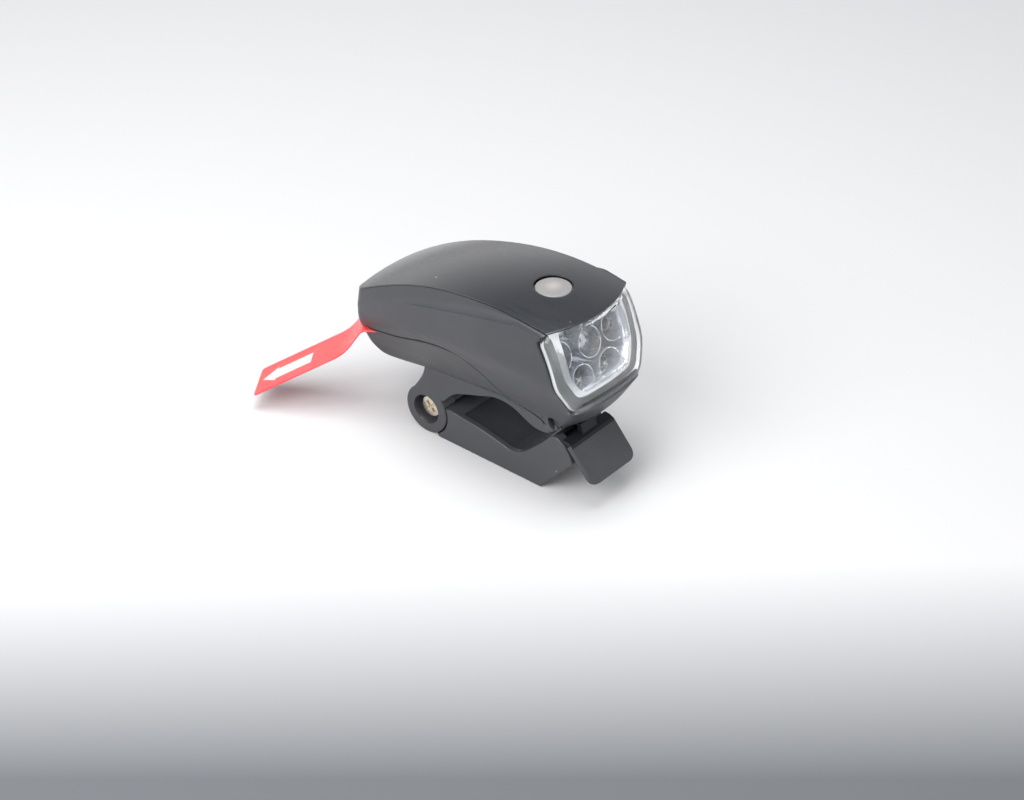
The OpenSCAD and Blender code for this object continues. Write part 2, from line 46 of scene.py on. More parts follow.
jawAxis = (30, 7.4)  # millimetres ahead of the clamp hinge and above it
quarter = pi / 2
print("frame loaded with", len(cadNodes), "nodes")


# small helpers for placing, lofting and finishing

def fromHinge(x, y, z):  # millimetres from the clamp hinge, to metres from the jaw axis
    return Vector(((x - jawAxis[0]) / 1000, y / 1000, (z - jawAxis[1]) / 1000))


def mix(a, b, t):
    return a + (b - a) * t


def step(a, b, x):  # smooth step from 0 at a to 1 at b
    t = min(max((x - a) / (b - a), 0), 1)
    return t * t * (3 - 2 * t)


def softMin(a, b, k):
    return min(a, b) - k * log(1 + exp(-abs(a - b) / k))


def softMax(a, b, k):
    return -softMin(-a, -b, k)


def bow(cx, cz, r, start, end, count):  # points of an arc, degrees from straight ahead
    angles = [radians(mix(start, end, k / count)) for k in range(count + 1)]
    return [(cx + r * cos(a), cz + r * sin(a)) for a in angles]


def smoothLine(points, count):  # smooth curve through the points, ends kept
    p = [points[0]] + list(points) + [points[-1]]
    line = []
    for i in range(1, len(p) - 2):
        for k in range(count):
            t = k / count
            line.append(tuple(0.5 * (2 * b + (c - a) * t + (2 * a - 5 * b + 4 * c - d) * t * t
                                     + (3 * b - a - 3 * c + d) * t ** 3)
                              for a, b, c, d in zip(p[i - 1], p[i], p[i + 1], p[i + 2])))
    return line + [tuple(points[-1])]


def heightAt(line, x):  # height of a side-view line at x
    if x <= line[0][0]:
        return line[0][1]
    for a, b in zip(line, line[1:]):
        if x <= b[0]:
            return mix(a[1], b[1], (x - a[0]) / max(b[0] - a[0], 1e-9))
    return line[-1][1]


def lengthsOf(line):  # distance along the line to each of its points
    lengths = [0.0]
    for a, b in zip(line, line[1:]):
        lengths.append(lengths[-1] + dist(a[:2], b[:2]))
    return lengths


def placeOn(line, lengths, want):  # the line's values at a distance along it
    k = 0
    while k < len(line) - 2 and lengths[k + 1] < want:
        k += 1
    t = (want - lengths[k]) / max(lengths[k + 1] - lengths[k], 1e-9)
    return tuple(mix(a, b, t) for a, b in zip(line[k], line[k + 1]))


def shaded(mesh, sharp=38):  # smooth, but for edges that turn by more than an angle
    for face in mesh.polygons:
        face.use_smooth = True
    mesh.set_sharp_from_angle(angle=radians(sharp))


def linked(name, bm):  # the shape as an object of the scene
    mesh = bpy.data.meshes.new(name)
    bm.to_mesh(mesh)
    bm.free()
    made = bpy.data.objects.new(name, mesh)
    scene.collection.objects.link(made)
    return made


def newPiece(name, bm, body, finishName, replaced=(), sharp=38):
    piece = linked(name, bm)
    shaded(piece.data, sharp)
    piece.data.materials.append(look[finishName])
    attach(piece, body)
    if replaced:
        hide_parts(*replaced)
    return piece


def carve(piece, cutters):
    tools = []
    for bm in cutters:
        tool = linked("cutter", bm)
        cut = piece.modifiers.new("carve", "BOOLEAN")
        cut.object, cut.operation, cut.solver = tool, "DIFFERENCE", "EXACT"
        tools.append(tool)
    shown = piece.evaluated_get(bpy.context.evaluated_depsgraph_get())
    carved = bpy.data.meshes.new_from_object(shown)
    piece.modifiers.clear()
    old = piece.data
    piece.data = carved
    carved.name = old.name + "Cut"
    bpy.data.meshes.remove(old)
    for tool in tools:
        bpy.data.objects.remove(tool)
    shaded(carved)


def evenShade(piece):
    flat = piece.modifiers.new("flat", "WEIGHTED_NORMAL")
    flat.keep_sharp = True


def walled(piece, thick, edge):  # wall inward from a skin, its rims softened
    wall = piece.modifiers.new("wall", "SOLIDIFY")
    wall.thickness, wall.offset = thick / 1000, -1
    soft = piece.modifiers.new("soft", "BEVEL")
    soft.width, soft.segments, soft.limit_method = edge / 1000, 2, "ANGLE"
    soft.angle_limit = radians(50)


def facesOut(bm, centre=None):  # faces look outward, and on an open skin away from a point
    ops.recalc_face_normals(bm, faces=bm.faces)
    if centre is None:
        return
    outward = sum((face.calc_center_median() - centre).dot(face.normal) * face.calc_area()
                  for face in bm.faces)
    if outward < 0:
        ops.reverse_faces(bm, faces=bm.faces)


def drawnOut(bm, points, way):  # block from a flat face, returned as the points of both its ends
    face = bm.faces.new([bm.verts.new(p) for p in points])
    drawn = ops.extrude_face_region(bm, geom=[face])
    far = [v for v in drawn["geom"] if isinstance(v, bmesh.types.BMVert)]
    ops.translate(bm, verts=far, vec=way)
    return set(face.verts) | set(far)


def roundEdges(bm, edges, width, segments):
    ops.bevel(bm, geom=edges, offset=width / 1000, offset_type="OFFSET", affect="EDGES",
              segments=segments, profile=0.5, material=-1, clamp_overlap=True)


def sideBlock(bm, outline, half, edge=0.0, segments=2):
    # side view in millimetres, drawn out across the part, both its rims rounded
    block = drawnOut(bm, [fromHinge(x, -half, z) for x, z in outline], (0, 2 * half / 1000, 0))
    if edge:
        rims = [e for e in bm.edges if set(e.verts) <= block
                and abs(e.verts[0].co.y - e.verts[1].co.y) < 1e-9]
        roundEdges(bm, rims, edge, segments)
    facesOut(bm)


def rod(bm, radius, y0, y1, segments):  # bar along the clamp hinge
    made = ops.create_cone(bm, cap_ends=True, segments=segments, radius1=radius / 1000,
                           radius2=radius / 1000, depth=abs(y1 - y0) / 1000)
    turn = Matrix.Translation(fromHinge(0, (y0 + y1) / 2, 0)) @ Matrix.Rotation(quarter, 4, "X")
    ops.transform(bm, matrix=turn, verts=made["verts"])


def growRing(bm, ring, place):  # draw a closed ring of points out to new places
    edges = [bm.edges.get((a, b)) for a, b in zip(ring, ring[1:] + ring[:1])]
    made = ops.extrude_edge_only(bm, edges=edges)
    fresh = {v for v in made["geom"] if isinstance(v, bmesh.types.BMVert)}
    after = []
    for v in ring:
        after.append(next(e.other_vert(v) for e in v.link_edges if e.other_vert(v) in fresh))
    for i, v in enumerate(after):
        v.co = place(i)
    return after


def firstRing(bm, count, place):
    ring = ops.create_circle(bm, segments=count, radius=1)["verts"]
    ring.sort(key=lambda v: atan2(v.co.y, v.co.x) % (2 * pi))
    for i, v in enumerate(ring):
        v.co = place(i)
    return ring


def spun(bm, profile, count, at):
    # (radius, height) profile turned about an upright axis, then set in place; tagged points stay
    start = [bm.verts.new((r / 1000, 0, h / 1000)) for r, h in profile]
    edges = [bm.edges.new(pair) for pair in zip(start, start[1:])]
    ops.spin(bm, geom=start + edges, cent=(0, 0, 0), axis=(0, 0, 1), angle=2 * pi,
             steps=count, use_merge=True)
    turned = [v for v in bm.verts if not v.tag]
    ops.remove_doubles(bm, verts=turned, dist=1e-7)
    turned = [v for v in bm.verts if not v.tag]
    ops.transform(bm, matrix=at, verts=turned)
    for v in turned:
        v.tag = True


def gridPiece(bm, columns, rows, place, keep=None):
    made = ops.create_grid(bm, x_segments=columns, y_segments=rows, size=1)["verts"]
    spot = {v: (round((v.co.x + 1) / 2 * columns), round((v.co.y + 1) / 2 * rows)) for v in made}
    if keep:
        lost = [face for face in bm.faces if not keep(min(spot[v][0] for v in face.verts),
                                                      min(spot[v][1] for v in face.verts))]
        ops.delete(bm, geom=lost, context="FACES")
    for v, (i, j) in spot.items():
        if v.is_valid:
            v.co = place(i, j)


def mirrored(bm):  # other half across the middle, joined
    ops.mirror(bm, geom=bm.verts[:] + bm.edges[:] + bm.faces[:], axis="Y", merge_dist=2e-6)
    ops.remove_doubles(bm, verts=bm.verts, dist=2e-6)


def awayFrom(centre, axes, spot):  # millimetres, in the plane of two axes
    return 1000 * hypot(*(spot[k] - centre[k] for k in axes))


def roundHole(bm, centre, axes, radius, near):  # the points of an open cut go onto a round
    moved = [v for v in bm.verts if v.is_boundary and awayFrom(centre, axes, v.co) < near]
    for v in moved:
        scale = radius / awayFrom(centre, axes, v.co)
        for k in axes:
            v.co[k] = mix(centre[k], v.co[k], scale)
    return moved


# finishes: one dictionary of values each, detail from shared groups

def put(tree, kind, values=None, **settings):  # a node with its settings and its inputs' values
    node = tree.nodes.new("ShaderNode" + kind)
    for label, value in settings.items():
        setattr(node, label, value)
    for label, value in (values or {}).items():
        node.inputs[label].default_value = value
    return node


def join(source, socket):
    source.id_data.links.new(source, socket)


def ranged(source, low, high, fromLow=0.3, fromHigh=0.7):
    node = put(source.id_data, "MapRange", {"From Min": fromLow, "From Max": fromHigh,
                                            "To Min": low, "To Max": high})
    join(source, node.inputs["Value"])
    return node.outputs["Result"]


def product(a, b):
    node = put(a.id_data, "Math", operation="MULTIPLY")
    join(a, node.inputs[0])
    join(b, node.inputs[1])
    return node.outputs["Value"]


def blended(factor, a, b):  # from one colour to another, each a value or a link
    node = put(factor.id_data, "Mix", data_type="RGBA")
    colours = [s for s in node.inputs if s.type == "RGBA"]
    for socket, value in zip(colours, (a, b)):
        if isinstance(value, tuple):
            socket.default_value = (*value, 1)
        else:
            join(value, socket)
    join(factor, node.inputs["Factor"])
    return next(s for s in node.outputs if s.type == "RGBA")


def bumped(shader, height, depth):
    node = put(height.id_data, "Bump", {"Strength": 1.0, "Distance": depth / 1000})
    join(height, node.inputs["Height"])
    join(node.outputs["Normal"], shader.inputs["Normal"])


def groupOf(name, inputs, outputs):
    tree = bpy.data.node_groups.new(name, "ShaderNodeTree")
    for label, value in inputs.items():
        socket = tree.interface.new_socket(label, in_out="INPUT", socket_type="NodeSocketFloat")
        socket.default_value = value
    for label in outputs:
        tree.interface.new_socket(label, in_out="OUTPUT", socket_type="NodeSocketFloat")
    return tree, tree.nodes.new("NodeGroupInput"), tree.nodes.new("NodeGroupOutput")


def mouldedSkin():  # fine mould texture, slow tone changes, dust and rubbed marks
    tree, given, out = groupOf("mouldedSkin", {"Grain": 2600.0, "Dust": 0.0},
                               ["Height", "Tone", "Dust", "Rub"])
    where = put(tree, "TexCoord").outputs["Object"]
    grain = put(tree, "TexNoise", {"Detail": 3})
    join(given.outputs["Grain"], grain.inputs["Scale"])
    slow = put(tree, "TexNoise", {"Scale": 55, "Detail": 4})
    spots = put(tree, "TexVoronoi", {"Scale": 260, "Randomness": 1})
    parted = put(tree, "SeparateColor")
    join(spots.outputs["Color"], parted.inputs["Color"])
    pick = put(tree, "Math", {1: 0.93}, operation="GREATER_THAN")  # only a few of the cells hold a speck
    join(parted.outputs["Red"], pick.inputs[0])
    near = ranged(spots.outputs["Distance"], 1, 0, 0.05, 0.11)
    speck = product(pick.outputs["Value"], near)
    stretch = put(tree, "Mapping", {"Scale": (60, 900, 900), "Rotation": (0.3, 0.5, 0.2)})
    rub = put(tree, "TexNoise", {"Scale": 1, "Detail": 5})
    join(stretch.outputs["Vector"], rub.inputs["Vector"])
    for node in (grain, slow, spots, stretch):
        join(where, node.inputs["Vector"])
    join(grain.outputs["Fac"], out.inputs["Height"])
    join(slow.outputs["Fac"], out.inputs["Tone"])
    join(product(speck, given.outputs["Dust"]), out.inputs["Dust"])
    join(rub.outputs["Fac"], out.inputs["Rub"])
    return tree


def turnedMetal():  # fine turning and plating marks
    tree, given, out = groupOf("turnedMetal", {"Scale": 900.0}, ["Height", "Stain"])
    where = put(tree, "TexCoord").outputs["Object"]
    lines = put(tree, "TexNoise", {"Detail": 6})
    join(given.outputs["Scale"], lines.inputs["Scale"])
    stain = put(tree, "TexNoise", {"Scale": 300, "Detail": 3})
    for node, label in ((lines, "Height"), (stain, "Stain")):
        join(where, node.inputs["Vector"])
        join(node.outputs["Fac"], out.inputs[label])
    return tree


skinGroup = mouldedSkin()
metalGroup = turnedMetal()
dustColour = (0.4, 0.39, 0.37)


def blankFinish(name):
    finish = bpy.data.materials.new(name)
    finish.use_nodes = True
    return finish, finish.node_tree, finish.node_tree.nodes["Principled BSDF"]


def plastic(name, v):  # toned colour, dust, rubbed roughness and relief, and other inputs by name
    finish, tree, shader = blankFinish(name)
    given = {"Grain": v.get("grain", 2600.0), "Dust": v.get("dust", 0.0)}
    skin = put(tree, "Group", given, node_tree=skinGroup)
    colour = blended(ranged(skin.outputs["Tone"], 0, 1), v.get("deep", v["colour"]), v["colour"])
    if "dust" in v:
        colour = blended(skin.outputs["Dust"], colour, dustColour)
    join(colour, shader.inputs["Base Color"])
    join(ranged(skin.outputs["Rub"], *v["rough"]), shader.inputs["Roughness"])
    for label, value in v.get("more", {}).items():
        shader.inputs[label].default_value = value
    bumped(shader, skin.outputs[v.get("relief", "Height")], v["depth"])
    return finish


def bareMetal(name, v):
    finish, tree, shader = blankFinish(name)
    marks = put(tree, "Group", {"Scale": v["marks"]}, node_tree=metalGroup)
    stain = marks.outputs["Stain"]
    join(blended(ranged(stain, 0, 1), v["colour"], v["stain"]), shader.inputs["Base Color"])
    join(ranged(stain, *v["rough"]), shader.inputs["Roughness"])
    shader.inputs["Metallic"].default_value = v.get("metal", 1.0)
    bumped(shader, marks.outputs["Height"], v["depth"])
    return finish


def letsLightIn(finish):  # light goes through the clear plastic onto what is behind it
    tree = finish.node_tree
    rays = put(tree, "LightPath")
    clear = put(tree, "BsdfTransparent", {"Color": (0.95, 0.96, 0.96, 1)})
    both = put(tree, "MixShader")
    join(rays.outputs["Is Shadow Ray"], both.inputs["Fac"])
    join(tree.nodes["Principled BSDF"].outputs["BSDF"], both.inputs[1])
    join(clear.outputs["BSDF"], both.inputs[2])
    join(both.outputs["Shader"], tree.nodes["Material Output"].inputs["Surface"])


plastics = {  # relief depths in millimetres
    "shellBlack": {"colour": (0.050, 0.052, 0.058), "deep": (0.042, 0.044, 0.050), "grain": 3200.0,
                   "depth": 0.012, "rough": (0.34, 0.44), "dust": 0.5},
    "coverBlack": {"colour": (0.013, 0.015, 0.019), "deep": (0.010, 0.012, 0.016), "grain": 3600.0,
                   "depth": 0.008, "rough": (0.27, 0.33), "dust": 0.5,
                   "more": {"Specular IOR Level": 1.0, "Coat Weight": 0.4, "Coat Roughness": 0.22}},
    "leverBlack": {"colour": (0.052, 0.055, 0.060), "deep": (0.040, 0.043, 0.048), "grain": 1500.0,
                   "depth": 0.09, "rough": (0.50, 0.62), "dust": 0.3},
    # smoother than leverBlack and much darker; the darker colour is painted shade from the chin over the
    # lever's top
    "leverSmoothPaintedShade": {"colour": (0.012, 0.013, 0.017), "deep": (0.009, 0.010, 0.013), "grain": 3600.0,
                    "depth": 0.008, "rough": (0.40, 0.50), "dust": 0.2, "more": {"Specular IOR Level": 0.25}},
    "padRubber": {"colour": (0.016, 0.018, 0.023), "deep": (0.011, 0.012, 0.017), "grain": 1800.0,
                  "depth": 0.05, "rough": (0.6, 0.75), "dust": 0.25},
    "carrierBlack": {"colour": (0.03, 0.03, 0.032), "deep": (0.024, 0.024, 0.026), "grain": 2400.0,
                     "depth": 0.03, "rough": (0.45, 0.55), "dust": 0.2},
    "switchBlack": {"colour": (0.035, 0.035, 0.037), "deep": (0.028, 0.028, 0.03), "grain": 2600.0,
                    "depth": 0.02, "rough": (0.4, 0.5), "dust": 0.2},
    "boardGreen": {"colour": (0.02, 0.13, 0.055), "deep": (0.015, 0.10, 0.045), "grain": 2000.0,
                   "depth": 0.01, "rough": (0.28, 0.38), "dust": 0.1},
    "trayBorder": {"colour": (0.21, 0.215, 0.22), "deep": (0.15, 0.155, 0.16), "grain": 1400.0,
                   "depth": 0.02, "rough": (0.3, 0.45), "dust": 0.2},
    "lensClear": {"colour": (0.97, 0.985, 0.98), "relief": "Tone", "depth": 0.01,
                  "rough": (0.0, 0.03, 0.45, 0.75), "more": {"Transmission Weight": 1.0, "IOR": 1.49}},
    # paler and less clear than lensClear: painted highlight on the lens's upright edge
    "lensEdgePaintedHighlight": {"colour": (0.90, 0.92, 0.92), "deep": (0.80, 0.82, 0.82), "relief": "Tone", "depth": 0.03,
                 "rough": (0.08, 0.2), "more": {"Transmission Weight": 0.45, "IOR": 1.49}},
    "lampClear": {"colour": (0.98, 0.98, 0.96), "relief": "Tone", "depth": 0.02, "rough": (0.02, 0.08),
                  "more": {"Transmission Weight": 1.0, "IOR": 1.5}},
    "lampChip": {"colour": (0.85, 0.62, 0.12), "deep": (0.75, 0.52, 0.08), "grain": 4000.0,
                 "depth": 0.01, "rough": (0.5, 0.6)},
    "lampAmber": {"colour": (0.75, 0.55, 0.25), "deep": (0.68, 0.48, 0.2), "grain": 3000.0,
                  "depth": 0.01, "rough": (0.25, 0.35)},
    "tabRed": {"colour": (0.93, 0.085, 0.085), "deep": (0.86, 0.055, 0.06), "relief": "Tone", "depth": 0.1,
               "rough": (0.28, 0.42),
               "more": {"Subsurface Weight": 0.25, "Subsurface Radius": (0.002, 0.0006, 0.0006)}},
    "tabWhite": {"colour": (0.80, 0.60, 0.61), "deep": (0.76, 0.55, 0.56), "grain": 1500.0,
                 "depth": 0.01, "rough": (0.35, 0.45)},
    "cellWrap": {"colour": (0.62, 0.43, 0.13), "deep": (0.50, 0.33, 0.09), "grain": 1400.0,
                 "depth": 0.01, "rough": (0.2, 0.32), "more": {"Metallic": 0.6}},
}
metals = {
    "fastenerSteel": {"colour": (0.80, 0.74, 0.62), "stain": (0.62, 0.55, 0.43), "marks": 2500.0,
                      "depth": 0.01, "rough": (0.20, 0.34)},
    "contactSteel": {"colour": (0.72, 0.72, 0.70), "stain": (0.60, 0.60, 0.57), "marks": 1800.0,
                     "depth": 0.01, "rough": (0.25, 0.38)},
    "darkSteel": {"colour": (0.10, 0.10, 0.105), "stain": (0.06, 0.06, 0.065), "marks": 2200.0,
                  "depth": 0.01, "rough": (0.35, 0.5)},
    "reflectorBright": {"colour": (0.92, 0.93, 0.97), "stain": (0.86, 0.87, 0.92), "marks": 400.0,
                        "depth": 0.02, "rough": (0.08, 0.15), "metal": 0.8},
}
look = {name: plastic(name, v) for name, v in plastics.items()}
look.update({name: bareMetal(name, v) for name, v in metals.items()})
for name in ("lensClear", "lampClear"):
    letsLightIn(look[name])
print("finishes made", len(look))


# the body's form, shared by the cover, both housings and the lens; millimetres from the clamp hinge

bodyForm = {  # an "Along" pair is where, along x, a change starts and ends
    "topRadius": 106.5, "topCentre": (37.5, -54.3), "crown": 1.6,
    "sideWidth": 19.8, "sideRadius": 340.0, "widest": 36.0, "wallSoft": 0.5,
    "frontIn": 0.85, "frontInAlong": (26, 52), "frontDrop": 0.5, "frontDropAlong": (30, 54),
    "cove": 1.8, "coves": (0.5, 2.8, 1.5), "rearCoveAlong": (-21, 12), "frontCoveAlong": (28, 52),
    "lipRadius": 170.0, "lipCentre": (64.6, -116.9), "lipLeast": 0.35, "lipSoft": 0.12,
    "lipDip": 0.9, "lipDipAlong": (-4, 18), "lipRiseAlong": (36, 52),
    "rear": 22.8, "rearRadius": 200.0, "corner": 3.6,
    "footWidth": 9.4, "foot": (0.7, 14.9), "footRise": 0.0402, "footSoft": 0.3,
    "lean": tan(radians(27)),
    "underCover": 0.55, "bulge": 1.9, "bulgeHalf": 17.6, "bulgeDown": (1, -12.5),
    "dome": (7.198, 22.404), "lensRadius": 55.0, "pitch": radians(18), "seamSteps": 8, "chinSteps": 6,
    "seam": [(-36, 18.6), (-27, 20.8), (-16.8, 23.2), (-5.7, 25.6), (5.4, 29.4), (13.5, 31.1), (20, 30.3),
             (25.6, 26.8), (30.6, 20.4), (35.2, 18), (40, 16.9), (44.4, 15.4), (46, 13.5)],
    "seamEnd": 44.4, "seamGap": 0.40, "pivot": (48.3, 16.5), "noseRing": 4.1,
    "chin": [(12.4, 47.3), (14.6, 50.4), (16.9, 53.7), (20.4, 57.9), (24, 60.4), (27.0, 61.9), (28.4, 62.4)],
}
seamLine = smoothLine(bodyForm["seam"], bodyForm["seamSteps"])
# height first, then how far out the chin is there
chinLine = smoothLine(bodyForm["chin"], bodyForm["chinSteps"])


def wallHalf(x):
    f = bodyForm
    side = f["sideWidth"] - f["sideRadius"] + sqrt(f["sideRadius"] ** 2 - (x - f["widest"]) ** 2)
    return side - f["frontIn"] * step(*f["frontInAlong"], x)


def bodyHalf(x, z):  # half width of the outside at a point of the side view
    f = bodyForm
    lean = f["footWidth"] + (z - f["foot"][1] - f["footRise"] * (x - f["foot"][0])) * f["lean"]
    return softMin(wallHalf(x), softMax(f["footWidth"], lean, f["footSoft"]), f["wallSoft"])


def cove(x):  # step from the wall in to the cover's edge, narrower towards the rear and at the front
    f = bodyForm
    rear, middle, front = f["coves"]
    return mix(mix(rear, middle, step(*f["rearCoveAlong"], x)), front, step(*f["frontCoveAlong"], x))


def crownHeight(x, y):
    f = bodyForm
    k = ((f["sideWidth"] - f["cove"]) ** 2 - f["crown"] ** 2) / (2 * f["crown"])
    r = f["topRadius"] - k + sqrt((k + f["crown"]) ** 2 - y * y)
    top = f["topCentre"][1] + sqrt(r * r - (x - f["topCentre"][0]) ** 2)
    return top - f["frontDrop"] * step(*f["frontDropAlong"], x)


def lipHeight(x, y):  # top of the side wall, kept under the cover's edge
    f = bodyForm
    lip = f["lipCentre"][1] + sqrt(f["lipRadius"] ** 2 - (x - f["lipCentre"][0]) ** 2)
    lip -= f["lipDip"] * step(*f["lipDipAlong"], x) * (1 - step(*f["lipRiseAlong"], x))
    return softMin(lip, crownHeight(x, y) - f["underCover"] - f["lipLeast"], f["lipSoft"])


def bulge(across):  # the lens and the cover stand further out in the middle of their meeting edge
    f = bodyForm
    return f["bulge"] * max(0.0, 1 - (across / f["bulgeHalf"]) ** 2)


def noseFoot(x, gap):  # edge at a gap over the seam, and past the seam round the pivot
    px, pz = bodyForm["pivot"]
    if x < bodyForm["seamEnd"]:
        return heightAt(seamLine, x) + gap
    r = bodyForm["noseRing"] - gap
    return pz - sqrt(max(r * r - (min(x, px) - px) ** 2, 0))


def cornerCentre(d):  # plan centres of the rear corner, the side and the rear, walls moved in by d
    f = bodyForm
    a = (f["widest"], f["sideRadius"] - f["sideWidth"] + d)
    b = (f["rearRadius"] - f["rear"] + d, 0.0)
    ra, rb = f["sideRadius"] - f["corner"], f["rearRadius"] - f["corner"]
    gap = dist(a, b)
    along = (ra * ra - rb * rb + gap * gap) / (2 * gap)
    up = sqrt(ra * ra - along * along)
    ux, uy = (b[0] - a[0]) / gap, (b[1] - a[1]) / gap
    spots = [(a[0] + along * ux - s * up * uy, a[1] + along * uy + s * up * ux) for s in (-1, 1)]
    return min(spots), a, b


def planPoint(t, d):  # rear half of the plan: 0 to 1 across the rear, 1 to 2 round the corner
    f = bodyForm
    c, a, b = cornerCentre(d)
    rearAngle = atan2(c[1] - b[1], c[0] - b[0]) % (2 * pi)
    sideAngle = atan2(c[1] - a[1], c[0] - a[0]) % (2 * pi)
    if t <= 1:
        angle = mix(pi, rearAngle, t)
        return b[0] + f["rearRadius"] * cos(angle), f["rearRadius"] * sin(angle)
    angle = mix(rearAngle, sideAngle, t - 1)
    return c[0] + f["corner"] * cos(angle), c[1] + f["corner"] * sin(angle)


def rearPlace(i, v):  # planPoint's place of column i
    return i / v["rear"] if i <= v["rear"] else 1 + (i - v["rear"]) / v["corner"]


def domeFront(y, z, radius):
    f = bodyForm
    return f["dome"][0] + sqrt(max(radius ** 2 - y * y - (z - f["dome"][1]) ** 2, 1))


# upper housing: cove under the cover, side walls, chin and nose

upperShell = {
    "rear": 8, "corner": 10, "side": 70, "chin": 18, "cove": 12, "wall": 24, "lower": 18,  # columns, rows
    "rim": 52.35, "cornerRim": 54.6, "rimUnder": (0.2, 2.6), "wallThick": 2.0, "edge": 0.3,
    "split": (57.0, 26.1), "splitRise": 0.02, "splitOver": 3.2, "splitSoft": 0.8, "hollowAlong": (-18, 8),
    "noseEnd": 46.9, "noseX": 46.8, "chinFrom": 57.2, "chinCurve": 0.8, "chinRise": 1.55, "bends": (2.7, 2.4),
    "middle": 30.0, "rounds": 30, "ease": 0.7,  # start and pace of the search for each point's x
    "recess": 2.4, "recessFine": 3.6, "recessEdge": 3.0,  # radii round the pivot
    "recessCuts": 3, "inside": (20, 0, 34),
    "notch": (49.6, -3.8, 18.9), "notchReach": 3.0,  # in the chin, for the lever's hook
}


def upperFoot(x):
    return noseFoot(min(x, upperShell["noseEnd"]), bodyForm["seamGap"])


def splitHeight(x):  # level of the lens's foot, kept above the seam further back
    u = upperShell
    level = u["split"][1] + u["splitRise"] * (x - u["split"][0])
    return softMax(level, upperFoot(x) + u["splitOver"], u["splitSoft"])


splitFront = splitHeight(upperShell["chinFrom"])
chinEnd = domeFront(bodyHalf(upperShell["chinFrom"], splitFront), splitFront, upperShell["rim"])


def upperRow(x, y, j):  # inset from the wall and height of row j, below the cover's edge at x and y
    u = upperShell
    top, lip, inward = crownHeight(x, y) - bodyForm["underCover"], lipHeight(x, y), cove(x)
    if j <= u["cove"]:
        s = j / u["cove"]
        a = s * quarter
        hollow = step(*u["hollowAlong"], x)
        return (mix(inward * (1 - s), inward * cos(a), hollow),
                mix(mix(top, lip, s), mix(top, lip, sin(a)), hollow))
    split = splitHeight(x)
    if j <= u["cove"] + u["wall"]:
        return 0.0, mix(lip, split, (j - u["cove"]) / u["wall"])
    return 0.0, mix(split, upperFoot(x), (j - u["cove"] - u["wall"]) / u["lower"])


def upperPoint(i, j):
    u = upperShell
    foot = u["cove"] + u["wall"]
    back = u["rear"] + u["corner"]
    if i <= back:
        t = rearPlace(i, u)
        d, z = upperRow(*planPoint(t, bodyForm["coves"][0]), j)
        x, y = planPoint(t, d)
        return fromHinge(x, y * bodyHalf(x, z) / wallHalf(x), z)
    c = max(0, (j - foot) / u["lower"])
    s = min(1, (i - back) / u["side"])
    x = u["middle"]
    for _ in range(u["rounds"]):
        edge = wallHalf(x) - cove(x)
        d, z = upperRow(x, edge, j)
        y = bodyHalf(x, z) - d
        start = planPoint(2, d)[0]
        rim = mix(u["cornerRim"], u["rim"], step(*u["rimUnder"], lipHeight(x, edge) - z))
        end = domeFront(y, z, rim) if j <= foot else mix(chinEnd, u["noseX"], c ** u["chinCurve"])
        x = mix(x, mix(start, end, s), u["ease"])
    if i <= back + u["side"]:
        return fromHinge(x, -y, z)
    t = (i - back - u["side"]) / u["chin"] * quarter
    bend = 2 / mix(*u["bends"], c)
    z += u["chinRise"] * (1 - c) ** 2 * sin(t)
    across = y * max(cos(t), 0) ** bend if i < back + u["side"] + u["chin"] else 0.0
    return fromHinge(mix(x, heightAt(chinLine, z), sin(t) ** bend), -across, z)


u = upperShell
bm = bmesh.new()
lensFrom = u["rear"] + u["corner"] + u["side"]
gridPiece(bm, lensFrom + u["chin"], u["cove"] + u["wall"] + u["lower"], upperPoint,
          lambda i, j: i < lensFrom or j >= u["cove"] + u["wall"])
pivotAt = fromHinge(bodyForm["pivot"][0], 0, bodyForm["pivot"][1])
sideAxes = (0, 2)
closeBy = [edge for edge in bm.edges
           if all(awayFrom(pivotAt, sideAxes, v.co) < u["recessFine"] for v in edge.verts)]
ops.subdivide_edges(bm, edges=closeBy, cuts=u["recessCuts"], use_grid_fill=True)
holed = [face for face in bm.faces
         if awayFrom(pivotAt, sideAxes, face.calc_center_median()) < u["recess"]]
ops.delete(bm, geom=holed, context="FACES")
roundHole(bm, pivotAt, sideAxes, u["recess"], u["recessEdge"])
notch = fromHinge(*u["notch"])
for way in ((0, 1, 0), (0, 0, 1)):
    chinFaces = [face for face in bm.faces
                 if face.calc_center_median().x > notch.x - u["notchReach"] / 1000]
    parts = {e for face in chinFaces for e in face.edges} | {v for face in chinFaces for v in face.verts}
    ops.bisect_plane(bm, geom=chinFaces + list(parts), plane_co=notch, plane_no=way)
gone = []
for face in bm.faces:
    middle = face.calc_center_median()
    if middle.x > notch.x and middle.y > notch.y and middle.z < notch.z:
        gone.append(face)
ops.delete(bm, geom=gone, context="FACES")
mirrored(bm)
facesOut(bm, fromHinge(*u["inside"]))
upperPiece = newPiece("upperHousing", bm, "upper", "shellBlack", ["upper_housing"])
walled(upperPiece, u["wallThick"], u["edge"])
print("upper housing", len(upperPiece.data.polygons), "faces")


# top cover, crowned, with the button's hole

topCover = {"along": 110, "across": 64, "thick": 0.42, "edge": 0.14, "frontGap": 0.1, "rearLimit": -20,
            "hole": 5.55, "holeTaken": 1.02, "holeNear": 1.5, "middle": 20.0, "rounds": 24, "ease": 0.7,
            "under": (20, 0, 0)}


